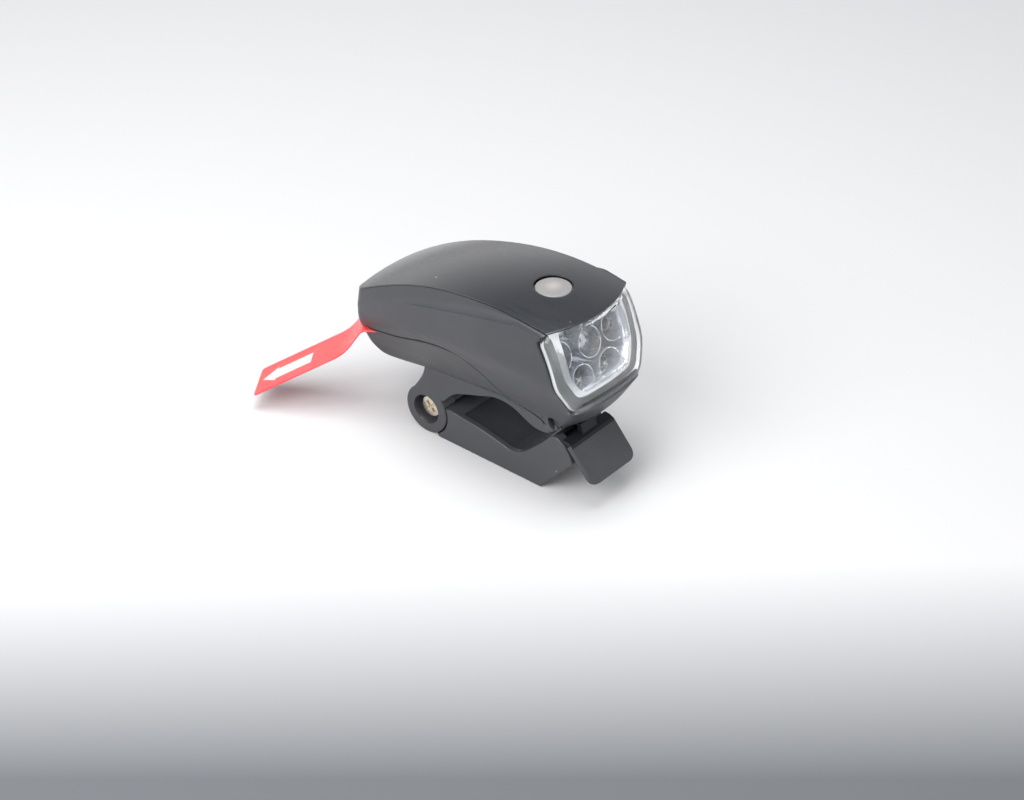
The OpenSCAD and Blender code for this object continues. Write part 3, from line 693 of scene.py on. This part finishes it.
def coverPoint(i, j):
    f, c = bodyForm, topCover
    t = sin((j / c["across"] * 2 - 1) * quarter)
    corner = cornerCentre(f["coves"][0])[0]
    x = c["middle"]
    for _ in range(c["rounds"]):
        y = t * (wallHalf(max(x, c["rearLimit"])) - cove(x))
        side = abs(y) - abs(corner[1])
        rear = f["rearRadius"] - f["rear"] + f["coves"][0] - sqrt(f["rearRadius"] ** 2 - y * y)
        if side > 0:
            rear = corner[0] - sqrt(max(f["corner"] ** 2 - min(side, f["corner"]) ** 2, 0))
        front = domeFront(y, crownHeight(x, y), f["lensRadius"] + c["frontGap"] + bulge(y))
        x = mix(x, mix(rear, front, i / c["along"]), c["ease"])
    return fromHinge(x, y, crownHeight(x, y))


c = topCover
buttonLow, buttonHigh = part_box("button_cap")
buttonX = (buttonLow.x + buttonHigh.x) / 2
buttonAt = (buttonX, 0, 0)
planAxes = (0, 1)
bm = bmesh.new()
gridPiece(bm, c["along"], c["across"], coverPoint)
inside = [face for face in bm.faces
          if all(awayFrom(buttonAt, planAxes, v.co) < c["hole"] * c["holeTaken"] for v in face.verts)]
ops.delete(bm, geom=inside, context="FACES")
for v in roundHole(bm, buttonAt, planAxes, c["hole"], c["hole"] * c["holeNear"]):
    v.co.z = fromHinge(0, 0, crownHeight(v.co.x * 1000 + jawAxis[0], v.co.y * 1000)).z
facesOut(bm, fromHinge(*c["under"]))
coverPiece = newPiece("topCover", bm, "upper", "coverBlack", ["top_cover"])
walled(coverPiece, c["thick"], c["edge"])
print("top cover", len(coverPiece.data.polygons), "faces")


# lens: clear dome with a thick rim, flush with the walls and up to the cover's edge

lensForm = {  # corners as (down, across, radius), rings as (inset, rise over the dome)
    "half": [(12.3, 13.8, 5.8), (3.0, 18.2, 10.0), (-13.6, 18.15, 4.0)], "count": 168, "gap": 0.14,
    "leastCorner": 0.9, "cornerSteps": 10, "middle": -0.6, "rings": 14, "coverRounds": 6,
    "front": [(0.12, -2.6), (0.0, -2.3), (0.0, -1.2), (0.12, -0.7), (0.42, -0.28), (1.0, 0.0)],
    "back": [(1.0, -2.6), (2.1, -2.6), (2.5, -2.4)],
}


def roundedOutline(half, inset, count):  # (down, across) points, evenly spread round the outline
    corners = half + [(d, -a, r) for d, a, r in reversed(half)]
    n, steps = len(corners), lensForm["cornerSteps"]
    lines = []
    for i in range(n):
        (d0, a0, _), (d1, a1, _) = corners[i], corners[(i + 1) % n]
        k = hypot(d1 - d0, a1 - a0)
        nd, na = (a1 - a0) / k, -(d1 - d0) / k
        lines.append((nd, na, nd * d0 + na * a0))
    inward = 1 if -lines[0][0] - lines[0][2] > 0 else -1  # the point one up from the middle is inside
    path = []
    for i in range(n):
        r = max(corners[i][2] - inset, lensForm["leastCorner"])
        (pd, pa, pc), (qd, qa, qc) = lines[i - 1], lines[i]
        u0, v0 = pc + inward * (inset + r), qc + inward * (inset + r)
        det = pd * qa - pa * qd
        cd, ca = (u0 * qa - v0 * pa) / det, (pd * v0 - qd * u0) / det
        start = atan2(-inward * pa, -inward * pd)
        turn = (atan2(-inward * qa, -inward * qd) - start + pi) % (2 * pi) - pi
        path += bow(cd, ca, r, degrees(start), degrees(start + turn), steps)
    path.append(path[0])
    lengths = lengthsOf(path)
    return [placeOn(path, lengths, lengths[-1] * i / count) for i in range(count)]


def onBeam(down, across, out):  # down the lens, across it and out along the beam
    f = bodyForm
    c, s = cos(f["pitch"]), sin(f["pitch"])
    return f["dome"][0] + out * c + down * s, across, f["dome"][1] + out * s - down * c


def onDome(down, across, radius, under=0.0):  # kept under the cover's edge by a gap
    for _ in range(lensForm["coverRounds"]):
        r = radius + bulge(across) * step(*bodyForm["bulgeDown"], down)
        out = sqrt(max(r ** 2 - down * down - across * across, 1))
        x, y, z = onBeam(down, across, out)
        over = z - (crownHeight(x, y) - under)
        if over <= 0:
            break
        down += over / cos(bodyForm["pitch"])
    return x, y, z


def domeRing(half, count, inset, radius, gap, shrink=1.0):  # places round an outline on the dome
    outline = roundedOutline(half, inset, count)

    def place(i):
        d, a = outline[i]
        return fromHinge(*onDome(mix(lensForm["middle"], d, shrink), a * shrink, radius, gap + inset))
    return place


def lensSide(spots):  # rings of one side of the lens, then smaller ones towards its middle
    v = lensForm
    shrinks = [1 - k / v["rings"] for k in range(1, v["rings"])]
    rings = [(*spot, 1.0) for spot in spots] + [(*spots[-1], shrink) for shrink in shrinks]
    return [domeRing(v["half"], v["count"], inset, bodyForm["lensRadius"] + rise, v["gap"], shrink)
            for inset, rise, shrink in rings]


def lensSolid():
    v = lensForm
    bm = bmesh.new()
    front = lensSide(v["front"])
    first = firstRing(bm, v["count"], front[0])
    line = first
    paintedHighlightFaces = []
    for k, place in enumerate(front[1:]):
        line = growRing(bm, line, place)
        if k == 1:  # the upright edge, given a paler, less clear finish: a painted highlight for the light it gathers
            paintedHighlightFaces = [face for vert in line for face in vert.link_faces]
    for face in paintedHighlightFaces:
        face.material_index = 1
    bm.faces.new(line)
    line = first
    for place in lensSide(v["back"]):
        line = growRing(bm, line, place)
    bm.faces.new(line)
    ops.poke(bm, faces=[face for face in bm.faces if len(face.verts) == v["count"]])
    facesOut(bm)
    return bm


lensPiece = newPiece("lensDome", lensSolid(), "upper", "lensClear", ["lens"], sharp=60)
lensPiece.data.materials.append(look["lensEdgePaintedHighlight"])
print("lens", len(lensPiece.data.polygons), "faces")


# lens seal: soft ring between the lens's edge and the housing's rim

sealForm = {"count": 120, "section": [(1.2, 52.35), (0.4, 52.35), (0.3, 52.2), (0.3, 51.75), (0.4, 51.6),
                                      (1.2, 51.6), (1.3, 51.7), (1.3, 52.25)]}
bm = bmesh.new()
line = None
for inset, radius in sealForm["section"]:
    place = domeRing(lensForm["half"], sealForm["count"], inset, radius, lensForm["gap"])
    line = growRing(bm, line, place) if line else firstRing(bm, sealForm["count"], place)
ops.bridge_loops(bm, edges=[e for e in bm.edges if e.is_boundary])
facesOut(bm)
newPiece("lensSeal", bm, "upper", "padRubber", ["lens_gasket"], sharp=50)
print("lens seal")


# reflector: bright tray with a satin border and a cup for each lamp

reflectorForm = {
    "half": [(8.9, 10.9, 5.0), (1.6, 14.1, 7.0), (-13.2, 14.3, 2.2)], "count": 120, "rim": 51.9,
    "foot": (0, -8.0), "border": [(1.4, -1.2), (1.4, -0.3)], "borderGap": 0.4, "lipGap": 0.5,
    "lip": [(-0.1, -0.3), (0.2, 0.0), (1.5, 0.0), (1.9, -0.4), (2.3, -2.5)],
    "floor": [(2.9, 44.5), (3.4, 41.5)], "floorShrink": 0.985,
    "cup": 4.4, "throat": 2.8, "cupWall": 0.25, "cupDepth": 6.6, "cupFront": 48.4, "cupSag": 0.00875,
    "cupSteps": 14, "cupCount": 48, "cupLip": [(-0.12, 0.1), (0.0, 0.02), (0.05, -0.3), (0.35, -6.6)],
    "lamps": [(-3.6, -11.0), (-3.6, 0.0), (-3.6, 11.0), (5.2, -5.6), (5.2, 5.6)],
}


def beamFrame(down, across, out):
    turn = Matrix.Rotation(quarter - bodyForm["pitch"], 4, "Y")
    return Matrix.Translation(fromHinge(*onBeam(down, across, out))) @ turn


def reflectorTray():
    v = reflectorForm
    n = v["count"]
    bm = bmesh.new()

    def lipRing(inset, rise):
        return domeRing(v["half"], n, inset, v["rim"] + rise, v["lipGap"])

    def borderRing(inset, rise):
        return domeRing(lensForm["half"], n, inset, v["rim"] + rise, v["borderGap"])

    def floorRing(inset, out):
        outline = roundedOutline(v["half"], inset, n)
        return lambda i: fromHinge(*onBeam(outline[i][0] * v["floorShrink"], outline[i][1], out))

    rings = [borderRing(*spot) for spot in v["border"]] + [lipRing(*spot) for spot in v["lip"]]
    rings += [floorRing(*spot) for spot in v["floor"]]
    line = firstRing(bm, n, lipRing(*v["foot"]))
    border = []
    for k, place in enumerate(rings):
        line = growRing(bm, line, place)
        if k == len(v["border"]):
            border = list(bm.faces)
    bm.faces.new(line)
    for face in bm.faces:
        face.material_index = 1 if face in border else 0
    for vert in bm.verts:
        vert.tag = True
    cup = []
    for k in range(v["cupSteps"] + 1):  # inside of the cup, opening as a parabola
        s = k / v["cupSteps"]
        cup.append((mix(v["throat"], v["cup"] - v["cupWall"], sqrt(s)), v["cupDepth"] * (s - 1)))
    cup += [(v["cup"] + r, h) for r, h in v["cupLip"]]
    for down, across in v["lamps"]:
        sag = v["cupSag"] * (down * down + across * across)
        spun(bm, cup, v["cupCount"], beamFrame(down, across, v["cupFront"] - sag))
    facesOut(bm)
    return bm


trayPiece = newPiece("reflectorTray", reflectorTray(), "upper", "reflectorBright",
                     ["reflector"], sharp=45)
trayPiece.data.materials.append(look["trayBorder"])

lampForm = {  # (radius, height) profiles over the lamp's foot
    "count": 40, "chipCount": 24, "foot": 37.8, "dome": (2.45, 2.5), "domeAt": 6.1,
    "turns": (8, 16, 25, 35, 45, 55, 65, 75, 85, 90),
    "flange": [(2.5, 1.1), (2.85, 1.0), (2.9, 0.9), (2.9, 0.1), (2.8, 0.0), (0.0, 0.0)],
    "chip": [(0.0, 4.05), (0.55, 4.05), (0.62, 4.0), (0.95, 4.6), (1.1, 4.6), (0.7, 3.4), (0.45, 3.2),
             (0.45, 0.4), (0.0, 0.4)],
}
wide, tall = lampForm["dome"]
dome = [(0.0, lampForm["domeAt"] + tall)]
for turn in lampForm["turns"]:
    a = radians(turn)
    dome.append((wide * sin(a), lampForm["domeAt"] + tall * cos(a)))
bm = bmesh.new()
chips = bmesh.new()
for down, across in reflectorForm["lamps"]:
    at = beamFrame(down, across, lampForm["foot"])
    spun(bm, dome + lampForm["flange"], lampForm["count"], at)
    spun(chips, lampForm["chip"], lampForm["chipCount"], at)
for made in (bm, chips):
    facesOut(made)
newPiece("lamps", bm, "upper", "lampClear", ["leds"], sharp=45)
newPiece("lampChips", chips, "upper", "lampChip")
print("reflector and lamps")


# button: frosted cap with a warm middle

buttonForm = {"radius": 5.2, "dome": 0.35, "edge": 0.45, "turns": (25, 50, 75, 90), "sunk": 0.2, "count": 72,
              "flange": 2.2, "skirt": [(5.2, -0.8), (6.2, -0.85), (6.2, -1.4), (1.5, -1.5)], "stem": 1.5,
              "travel": 0.85, "rings": 8,
              "cool": (0.27, 0.26, 0.255), "warm": (0.42, 0.37, 0.34), "glow": (0.0004, 0.0030),
              "shade": (0.17, 0.17, 0.18), "shadeMost": 0.25, "rough": (0.42, 0.55), "depth": 0.01,
              "soft": 0.35, "softReach": (0.0012, 0.001, 0.0009)}
b = buttonForm
look["buttonGrey"], tree, shader = blankFinish("buttonGrey")
where = put(tree, "TexCoord")
level = put(tree, "Mapping", {"Location": (-buttonX, 0, 0), "Scale": (1, 1, 0)})
away = put(tree, "VectorMath", operation="LENGTH")
join(where.outputs["Object"], level.inputs["Vector"])
join(level.outputs["Vector"], away.inputs[0])
skin = put(tree, "Group", node_tree=skinGroup)
base = blended(ranged(away.outputs["Value"], 1, 0, *b["glow"]), b["cool"], b["warm"])
toned = blended(ranged(skin.outputs["Tone"], 0, b["shadeMost"]), base, b["shade"])
join(toned, shader.inputs["Base Color"])
join(ranged(skin.outputs["Rub"], *b["rough"]), shader.inputs["Roughness"])
shader.inputs["Subsurface Weight"].default_value = b["soft"]
shader.inputs["Subsurface Radius"].default_value = b["softReach"]
bumped(shader, skin.outputs["Height"], b["depth"])
rim = b["radius"] - b["edge"]
profile = []
for k in range(b["rings"] + 1):
    s = k / b["rings"]
    profile.append((rim * s, b["dome"] * (1 - s * s)))
for turn in b["turns"]:
    a = radians(turn)
    profile.append((rim + b["edge"] * sin(a), -b["edge"] * (1 - cos(a))))
low = (buttonLow.z - buttonHigh.z) * 1000
profile += [(r, low + b["flange"] + h) for r, h in b["skirt"]]
profile += [(b["stem"], low + b["travel"]), (0.0, low + b["travel"])]
bm = bmesh.new()
spun(bm, profile, b["count"], Matrix.Translation((buttonX, 0, buttonHigh.z - b["sunk"] / 1000)))
facesOut(bm)
newPiece("buttonCap", bm, "button", "buttonGrey", ["button_cap"], sharp=50)
print("button")


# lower housing: belly under the seam, then the clamp's bracket with its lugs

lowerShell = {
    "rear": 8, "corner": 10, "side": 60, "wall": 16, "round": 8, "floor": 4,  # columns, rows
    "roundness": 2.2, "roundShare": 0.6, "least": 0.05, "noseX": 47.0, "wallThick": 2.0, "edge": 0.3,
    "leastAcross": 6, "inside": (10, 0, 24), "bellySteps": 6,
    "belly": [(-23.2, 18.2), (-22.4, 16.0), (-21.2, 14.0), (-19.2, 12.4), (-16.5, 11.6), (-12, 11.9),
              (-0.6, 13.6), (6, 14.4), (14, 15.4), (24, 16.6), (31, 17.0), (36, 15.6), (41, 13.6),
              (44.6, 12.7), (47.2, 12.5)],
}
bellyLine = smoothLine(lowerShell["belly"], lowerShell["bellySteps"])


def lowerPoint(i, j):
    w = lowerShell
    back = w["rear"] + w["corner"]
    t = rearPlace(i, w)
    if i <= back:
        x, y0 = planPoint(t, 0)
    else:
        x = mix(planPoint(2, 0)[0], w["noseX"], (i - back) / w["side"])
        y0 = -wallHalf(x)
    belly = heightAt(bellyLine, x)
    top = max(noseFoot(x, -bodyForm["seamGap"]), belly + w["least"])
    r = min(w["roundness"], w["roundShare"] * (top - belly))
    if j <= w["wall"]:
        z, inset = mix(top, belly + r, j / w["wall"]), 0.0
    elif j <= w["wall"] + w["round"]:
        a = (j - w["wall"]) / w["round"] * quarter
        z, inset = belly + r * (1 - sin(a)), r * (1 - cos(a))
    else:
        z, inset = belly, r
    y = y0 * (bodyHalf(x, z) / wallHalf(x))
    if i <= back:  # the rear comes in under the belly as well
        x += inset * (1 - t / 2)
        y *= 1 - inset * t / 2 / max(abs(y), w["leastAcross"])
    else:
        y += inset
    s = max(0, (j - w["wall"] - w["round"]) / w["floor"])
    return fromHinge(x, y * (1 - s), z)


w = lowerShell
bm = bmesh.new()
gridPiece(bm, w["rear"] + w["corner"] + w["side"], w["wall"] + w["round"] + w["floor"], lowerPoint)
mirrored(bm)
facesOut(bm, fromHinge(*w["inside"]))
bellyPiece = newPiece("lowerBelly", bm, "base", "shellBlack", ["lower_housing"])
walled(bellyPiece, w["wallThick"], w["edge"])

bracketForm = {
    "half": 9.4, "edge": 0.55, "lug": 7.7, "lugTurn": (128, 402, 44), "slot": 4.5, "slotGap": 0.6,
    "seat": 4.7, "seatDepth": 3.6, "nut": 4.1, "nutDepth": 2.6, "outside": 20,
    "edgeSteps": 4, "slotFacets": 72, "seatFacets": 56, "nutSides": 6, "saddleSteps": 4,
    "back": [(-0.4, 15.4), (-0.7, 13.4), (-1.5, 11.2), (-3.0, 8.6)], "neck": (6.9, 5.6),
    "saddle": [(8.6, 7.6), (11.4, 10), (16, 11.9), (20.9, 13.6), (24, 14.8), (26.5, 15.45), (30.3, 15.5),
               (33.9, 14.7), (37.5, 13), (41.2, 11.7), (44.8, 11.75), (46.6, 12.6)],
    "top": [(46.4, 13.6), (43, 15.2), (36, 17.4), (20, 18.4), (8, 16.6)],
}
b = bracketForm
outline = b["back"] + bow(0, 0, b["lug"], *b["lugTurn"]) + [b["neck"]]
outline += smoothLine(b["saddle"], b["saddleSteps"]) + b["top"]
bm = bmesh.new()
sideBlock(bm, outline, b["half"], b["edge"], b["edgeSteps"])
bracketPiece = newPiece("clampBracket", bm, "base", "shellBlack")
cuts = [bmesh.new() for _ in range(3)]
rod(cuts[0], b["lug"] + b["slotGap"], -b["slot"], b["slot"], b["slotFacets"])
rod(cuts[1], b["seat"], b["seatDepth"] - b["half"], -b["outside"], b["seatFacets"])
rod(cuts[2], b["nut"], b["half"] - b["nutDepth"], b["outside"], b["nutSides"])
carve(bracketPiece, cuts)
evenShade(bracketPiece)
print("lower housing")


# clamp arm, with its channel for the pad, its barrel, the lever's slot and pockets underneath

armForm = {
    "half": 9.4, "edge": 0.5, "foot": 7.7, "gap": 8.05, "gapTurn": (-66, 24, 16), "heel": 4.6,
    "step": (9.2, 3.5), "edgeSteps": 4, "topSteps": 4,
    "top": [(11.4, 3.35), (13.2, 3.1), (20.8, 2.3), (28.3, 0.8), (31.5, 0.15), (33.9, 0.35), (36.5, 1.5),
            (39.4, 3.9), (43, 7.4), (45.2, 9.8)],
    "nose": (48.3, 9.2, 2.7, 140, 50, 10),
    "front": [(51.4, 10.5), (53.5, 7.9), (54.5, 5.7), (54.5, 5.3), (54.2, 4.9), (43.6, -7.2)], "toe": 43.0,
    "channel": 7.7, "channelDepth": 1.0, "channelAlong": (12.5, 42.5), "channelOpen": [(42.0, 16), (13, 16)],
    "slot": (48.4, 8, 2.45, 100, 270, 14), "slotOpen": [(60, 4.6), (60, 20), (50, 20)], "slotHalf": 6.2,
    "pockets": [(13, 21.4), (22.8, 31.2), (32.6, 39)], "pocketHeights": (-9, -4.5), "pocketWall": 1.8,
    "barrel": (0, 0, 7.1, 60, 300, 40), "barrelHalf": 4.2, "barrelEdge": 0.3,
    "root": [(4.2, -7.66), (10.5, -7.66), (10.5, 2.6), (6.4, 3.0)],
}
a = armForm
armTop = smoothLine(a["top"], a["topSteps"])
outline = [(a["heel"], -a["foot"])] + bow(0, 0, a["gap"], *a["gapTurn"])[1:] + [a["step"]]
outline += armTop + bow(*a["nose"]) + a["front"] + [(a["toe"], -a["foot"])]
bm = bmesh.new()
sideBlock(bm, outline, a["half"], a["edge"], a["edgeSteps"])
armPiece = newPiece("clampArm", bm, "arm", "shellBlack", ["clamp_arm"])
cuts = [bmesh.new() for _ in range(3)]
padFrom, padTo = a["channelAlong"]
floorLine = [(x, z - a["channelDepth"]) for x, z in armTop if padFrom < x < padTo]
sideBlock(cuts[0], floorLine + a["channelOpen"], a["channel"])
sideBlock(cuts[1], bow(*a["slot"]) + a["slotOpen"], a["slotHalf"])
z0, z1 = a["pocketHeights"]
for x0, x1 in a["pockets"]:
    sideBlock(cuts[2], [(x0, z0), (x1, z0), (x1, z1), (x0, z1)], a["half"] - a["pocketWall"])
carve(armPiece, cuts)
evenShade(armPiece)
bm = bmesh.new()
sideBlock(bm, bow(*a["barrel"]) + a["root"], a["barrelHalf"], a["barrelEdge"])
barrelPiece = newPiece("armBarrel", bm, "arm", "shellBlack")
evenShade(barrelPiece)
print("clamp arm")


# release lever: textured plate with rounded lower corners, a shelf with a lip at its top, barrel and hook

leverForm = {
    "top": (54.1, 11.5), "tip": (62.8, 1.8), "half": 9.7, "thick": 1.6, "corner": 3.0, "edge": 0.35,
    "cornerSteps": 9, "edgeSteps": 3,
    "shelf": [(51.3, 11.7), (51.3, 12.35), (53.1, 12.15)], "shelfHalf": 9.4, "shelfEdge": 0.2,
    "lip": [(-0.2, 0.05), (-0.05, 0.2), (0.9, 0.2), (1.2, -0.8)],  # down the plate, out from its face
    "barrel": (48.4, 8.0, 2.1, 60, 300, 30), "root": [(57.2, 6.4), (54.9, 9.2)], "barrelHalf": 5.9,
    "hook": [(48.9, 9.4), (54.6, 9.0), (53.9, 10.6), (52.6, 14.7), (52.4, 14.9), (51.0, 14.9), (50.8, 14.7),
             (50.8, 13.9), (51.3, 13.9), (51.3, 11.8), (49.2, 9.9)], "hookHalf": 3.2, "hookEdge": 0.15,
}
v = leverForm
topX, topZ = v["top"]
length = dist(v["top"], v["tip"])
slope = atan2(v["tip"][1] - topZ, v["tip"][0] - topX)


def onLever(d, n):  # d down the plate from its top edge, n out from its face
    return (topX + d * cos(slope) - n * sin(slope),
            topZ + d * sin(slope) + n * cos(slope))


half, corner = v["half"], v["corner"]
rim = [(0, -half)] + bow(length - corner, corner - half, corner, -90, 0, v["cornerSteps"])
rim += bow(length - corner, half - corner, corner, 0, 90, v["cornerSteps"]) + [(0, half)]
bm = bmesh.new()
drawnOut(bm, [(d / 1000, y / 1000, 0) for d, y in rim], (0, 0, -v["thick"] / 1000))
facesOut(bm)
roundEdges(bm, bm.edges[:], v["edge"], v["edgeSteps"])
leverFrame = Matrix.Translation(fromHinge(topX, 0, topZ)) @ Matrix.Rotation(-slope, 4, "Y")
ops.transform(bm, matrix=leverFrame, verts=bm.verts)
plate = set(bm.faces)
sideBlock(bm, v["shelf"] + [onLever(*spot) for spot in v["lip"]], v["shelfHalf"], v["shelfEdge"])
sideBlock(bm, bow(*v["barrel"]) + v["root"], v["barrelHalf"], v["shelfEdge"])
sideBlock(bm, v["hook"], v["hookHalf"], v["hookEdge"])
for face in bm.faces:  # the plate is textured, the rest smooth and darker, the darker colour being painted shade from the chin
    face.material_index = 0 if face in plate else 1
leverPiece = newPiece("releaseLever", bm, "lever", "leverBlack", ["release_lever"])
leverPiece.data.materials.append(look["leverSmoothPaintedShade"])
evenShade(leverPiece)
print("release lever")


# pull tab: red film out of the seam, with a plain white arrow printed on it

tabForm = {"at": (-19.9, -8.2, 22.5), "heading": 214.0, "dip": 57.0, "slope": 31.0, "bends": (2.5, 16.0),
           "inside": 3.4, "out": 1.9, "drop": 5.0, "run": 28.6, "width": 14.4, "thick": 0.28, "tipRound": 1.0,
           "along": 90, "across": 20, "crowding": 1.15, "bendSteps": (12, 10), "under": (0, 0, -1000)}


def tabLine():  # side view of the film's middle: distance out, height, and dip at each point
    t = tabForm
    lo, hi = radians(t["dip"]), radians(t["slope"])
    r0, r1 = t["bends"]
    steps0, steps1 = t["bendSteps"]
    line = [(-t["inside"], 0.0, 0.0)]
    for k in range(steps0 + 1):
        a = lo * k / steps0
        line.append((t["out"] + r0 * sin(a), -r0 + r0 * cos(a), a))
    x, z, _ = line[-1]
    x, z = x + t["drop"] * cos(lo), z - t["drop"] * sin(lo)
    cx, cz = x + r1 * sin(lo), z + r1 * cos(lo)
    for k in range(steps1 + 1):
        a = mix(lo, hi, k / steps1)
        line.append((cx - r1 * sin(a), cz - r1 * cos(a), a))
    x, z, _ = line[-1]
    line.append((x + t["run"] * cos(hi), z - t["run"] * sin(hi), hi))
    return line


tabPath = tabLine()
tabLengths = lengthsOf(tabPath)
tabEnd = tabLengths[-1]


def onTab(along, across, lift):  # a point of the film, lifted off its middle
    out, up, dip = placeOn(tabPath, tabLengths, along)
    out += lift * sin(dip)
    up += lift * cos(dip)
    h = radians(tabForm["heading"])
    x0, y0, z0 = tabForm["at"]
    return fromHinge(x0 + out * cos(h) - across * sin(h),
                     y0 + out * sin(h) + across * cos(h), z0 + up)


def tabPoint(i, j):
    t = tabForm
    along = (1 - (1 - i / t["along"]) ** t["crowding"]) * tabEnd
    left = tabEnd - along
    half = t["width"] / 2
    if left < t["tipRound"]:
        half -= t["tipRound"] - sqrt(max(t["tipRound"] ** 2 - (t["tipRound"] - left) ** 2, 0))
    return onTab(along, (j / t["across"] * 2 - 1) * half, t["thick"] / 2)


bm = bmesh.new()
gridPiece(bm, tabForm["along"], tabForm["across"], tabPoint)
facesOut(bm, fromHinge(*tabForm["under"]))  # the printed side up
tabPiece = newPiece("pullTab", bm, "tab", "tabRed", ["pull_tab"], sharp=60)
film = tabPiece.modifiers.new("film", "SOLIDIFY")
film.thickness, film.offset = tabForm["thick"] / 1000, -1

arrowForm = {"tip": 1.8, "head": 7.0, "shaft": 19.6, "headHalf": 3.6, "shaftHalf": 2.6,
             "lift": 0.012, "thick": 0.01}  # lengths back from the tab's end
r = arrowForm
shape = [(r["tip"], 0), (r["head"], -r["headHalf"]), (r["head"], -r["shaftHalf"]),
         (r["shaft"], -r["shaftHalf"]), (r["shaft"], r["shaftHalf"]), (r["head"], r["shaftHalf"]),
         (r["head"], r["headHalf"])]
lift = tabForm["thick"] / 2 + r["lift"]
bm = bmesh.new()
face = bm.faces.new([bm.verts.new(onTab(tabEnd - back, across, lift)) for back, across in shape])
if face.normal.z < 0:
    face.normal_flip()
ops.triangulate(bm, faces=bm.faces)
ops.solidify(bm, geom=bm.faces[:], thickness=r["thick"] / 1000)
facesOut(bm)
newPiece("tabArrow", bm, "tab", "tabWhite")
print("pull tab")


# pieces that keep their solid's shape, each with its finish

kept = {
    "boardGreen": ["led_board", "switch_board"], "switchBlack": ["tact_switch"],
    "lampAmber": ["indicator_led"], "cellWrap": ["cell_lower", "cell_left", "cell_right"],
    "carrierBlack": ["front_carrier", "rear_carrier"], "darkSteel": ["pivot_pin"],
    "contactSteel": ["front_contacts", "rear_contacts", "contact_springs"],
    "fastenerSteel": ["board_screws", "hinge_screw", "hinge_nut", "lever_pin"],
    "padRubber": ["saddle_pad", "arm_pad"],
}
for finishName, names in kept.items():
    for name in names:
        cadNodes[name].data.materials.clear()
        cadNodes[name].data.materials.append(look[finishName])
print("carried-over nodes:", sum(len(names) for names in kept.values()))


# floor, light and camera; metres

# the floor's colour goes from near, by the camera, to far: darker near the camera, a painted shade for the
# light's falloff
stageForm = {"floor": -0.0151, "size": 3.0, "near": (0.135, 0.143, 0.153), "far": (0.62, 0.62, 0.625),
             "bounce": (0.35, 0.35, 0.35), "away": (-0.645, 0.764, 0), "paintedShadeFade": (-0.135, -0.05),
             "rough": 0.8, "shine": 0.2}
bm = bmesh.new()
ops.create_grid(bm, x_segments=2, y_segments=2, size=stageForm["size"])
ops.translate(bm, verts=bm.verts, vec=(0, 0, stageForm["floor"]))
floor = linked("floor", bm)
floorPale, tree, shader = blankFinish("floorPale")
where = put(tree, "TexCoord")
depth = put(tree, "VectorMath", {1: stageForm["away"]}, operation="DOT_PRODUCT")
join(where.outputs["Object"], depth.inputs[0])
# floor colour: pale far off, darker towards the camera as painted shade
paleWithPaintedShade = blended(ranged(depth.outputs["Value"], 0, 1, *stageForm["paintedShadeFade"]), stageForm["near"],
               stageForm["far"])
rays = put(tree, "LightPath")
join(blended(rays.outputs["Is Diffuse Ray"], paleWithPaintedShade, stageForm["bounce"]), shader.inputs["Base Color"])
shader.inputs["Roughness"].default_value = stageForm["rough"]
shader.inputs["Specular IOR Level"].default_value = stageForm["shine"]
floor.data.materials.append(floorPale)

skyForm = {"horizon": (1.0, 1.0, 1.0), "rear": (0.20, 0.21, 0.235), "front": (0.70, 0.71, 0.75),
           "along": (-0.1, 0.6), "up": (0.2, 0.7), "strength": 1.0}
world = bpy.data.worlds.new("studio")
scene.world = world
world.use_nodes = True
tree = world.node_tree
sky = tree.nodes["Background"]
where = put(tree, "TexCoord")
toward = put(tree, "SeparateXYZ")
join(where.outputs["Generated"], toward.inputs["Vector"])
above = blended(ranged(toward.outputs["X"], 0, 1, *skyForm["along"]), skyForm["rear"], skyForm["front"])
around = blended(ranged(toward.outputs["Z"], 0, 1, *skyForm["up"]), skyForm["horizon"], above)
join(around, sky.inputs["Color"])
sky.inputs["Strength"].default_value = skyForm["strength"]

stageLights = {
    "overhead": {"power": 4.2, "size": (0.42, 0.42), "at": (-0.04, -0.06, 0.75), "to": (0, 0, 0)},
    "right": {"power": 6.2, "size": (0.6, 0.5), "at": (-0.02, -0.60, 0.52), "to": (0, 0, 0.02)},
}
for name, lamp in stageLights.items():
    light = bpy.data.lights.new(name, "AREA")
    light.energy, light.shape = lamp["power"], "RECTANGLE"
    light.size, light.size_y = lamp["size"]
    holder = bpy.data.objects.new(name, light)
    scene.collection.objects.link(holder)
    holder.location = lamp["at"]
    aim = Vector(lamp["to"]) - Vector(lamp["at"])
    holder.rotation_euler = aim.to_track_quat("-Z", "Y").to_euler()

cameraForm = {"lens": 84.375, "sensor": 36, "eye": (0.36084, -0.43360, 0.38993),
              "back": (0.53245, -0.63073, 0.56451), "right": (0.76413, 0.64506, 0.0)}
view = bpy.data.cameras.new("view")
view.lens, view.sensor_width = cameraForm["lens"], cameraForm["sensor"]
viewer = bpy.data.objects.new("view", view)
scene.collection.objects.link(viewer)
back, right = Vector(cameraForm["back"]), Vector(cameraForm["right"])
turned = Matrix((right, back.cross(right), back)).transposed().to_4x4()
viewer.matrix_world = Matrix.Translation(cameraForm["eye"]) @ turned
scene.camera = viewer
scene.view_settings.view_transform = "Standard"
print("stage set")
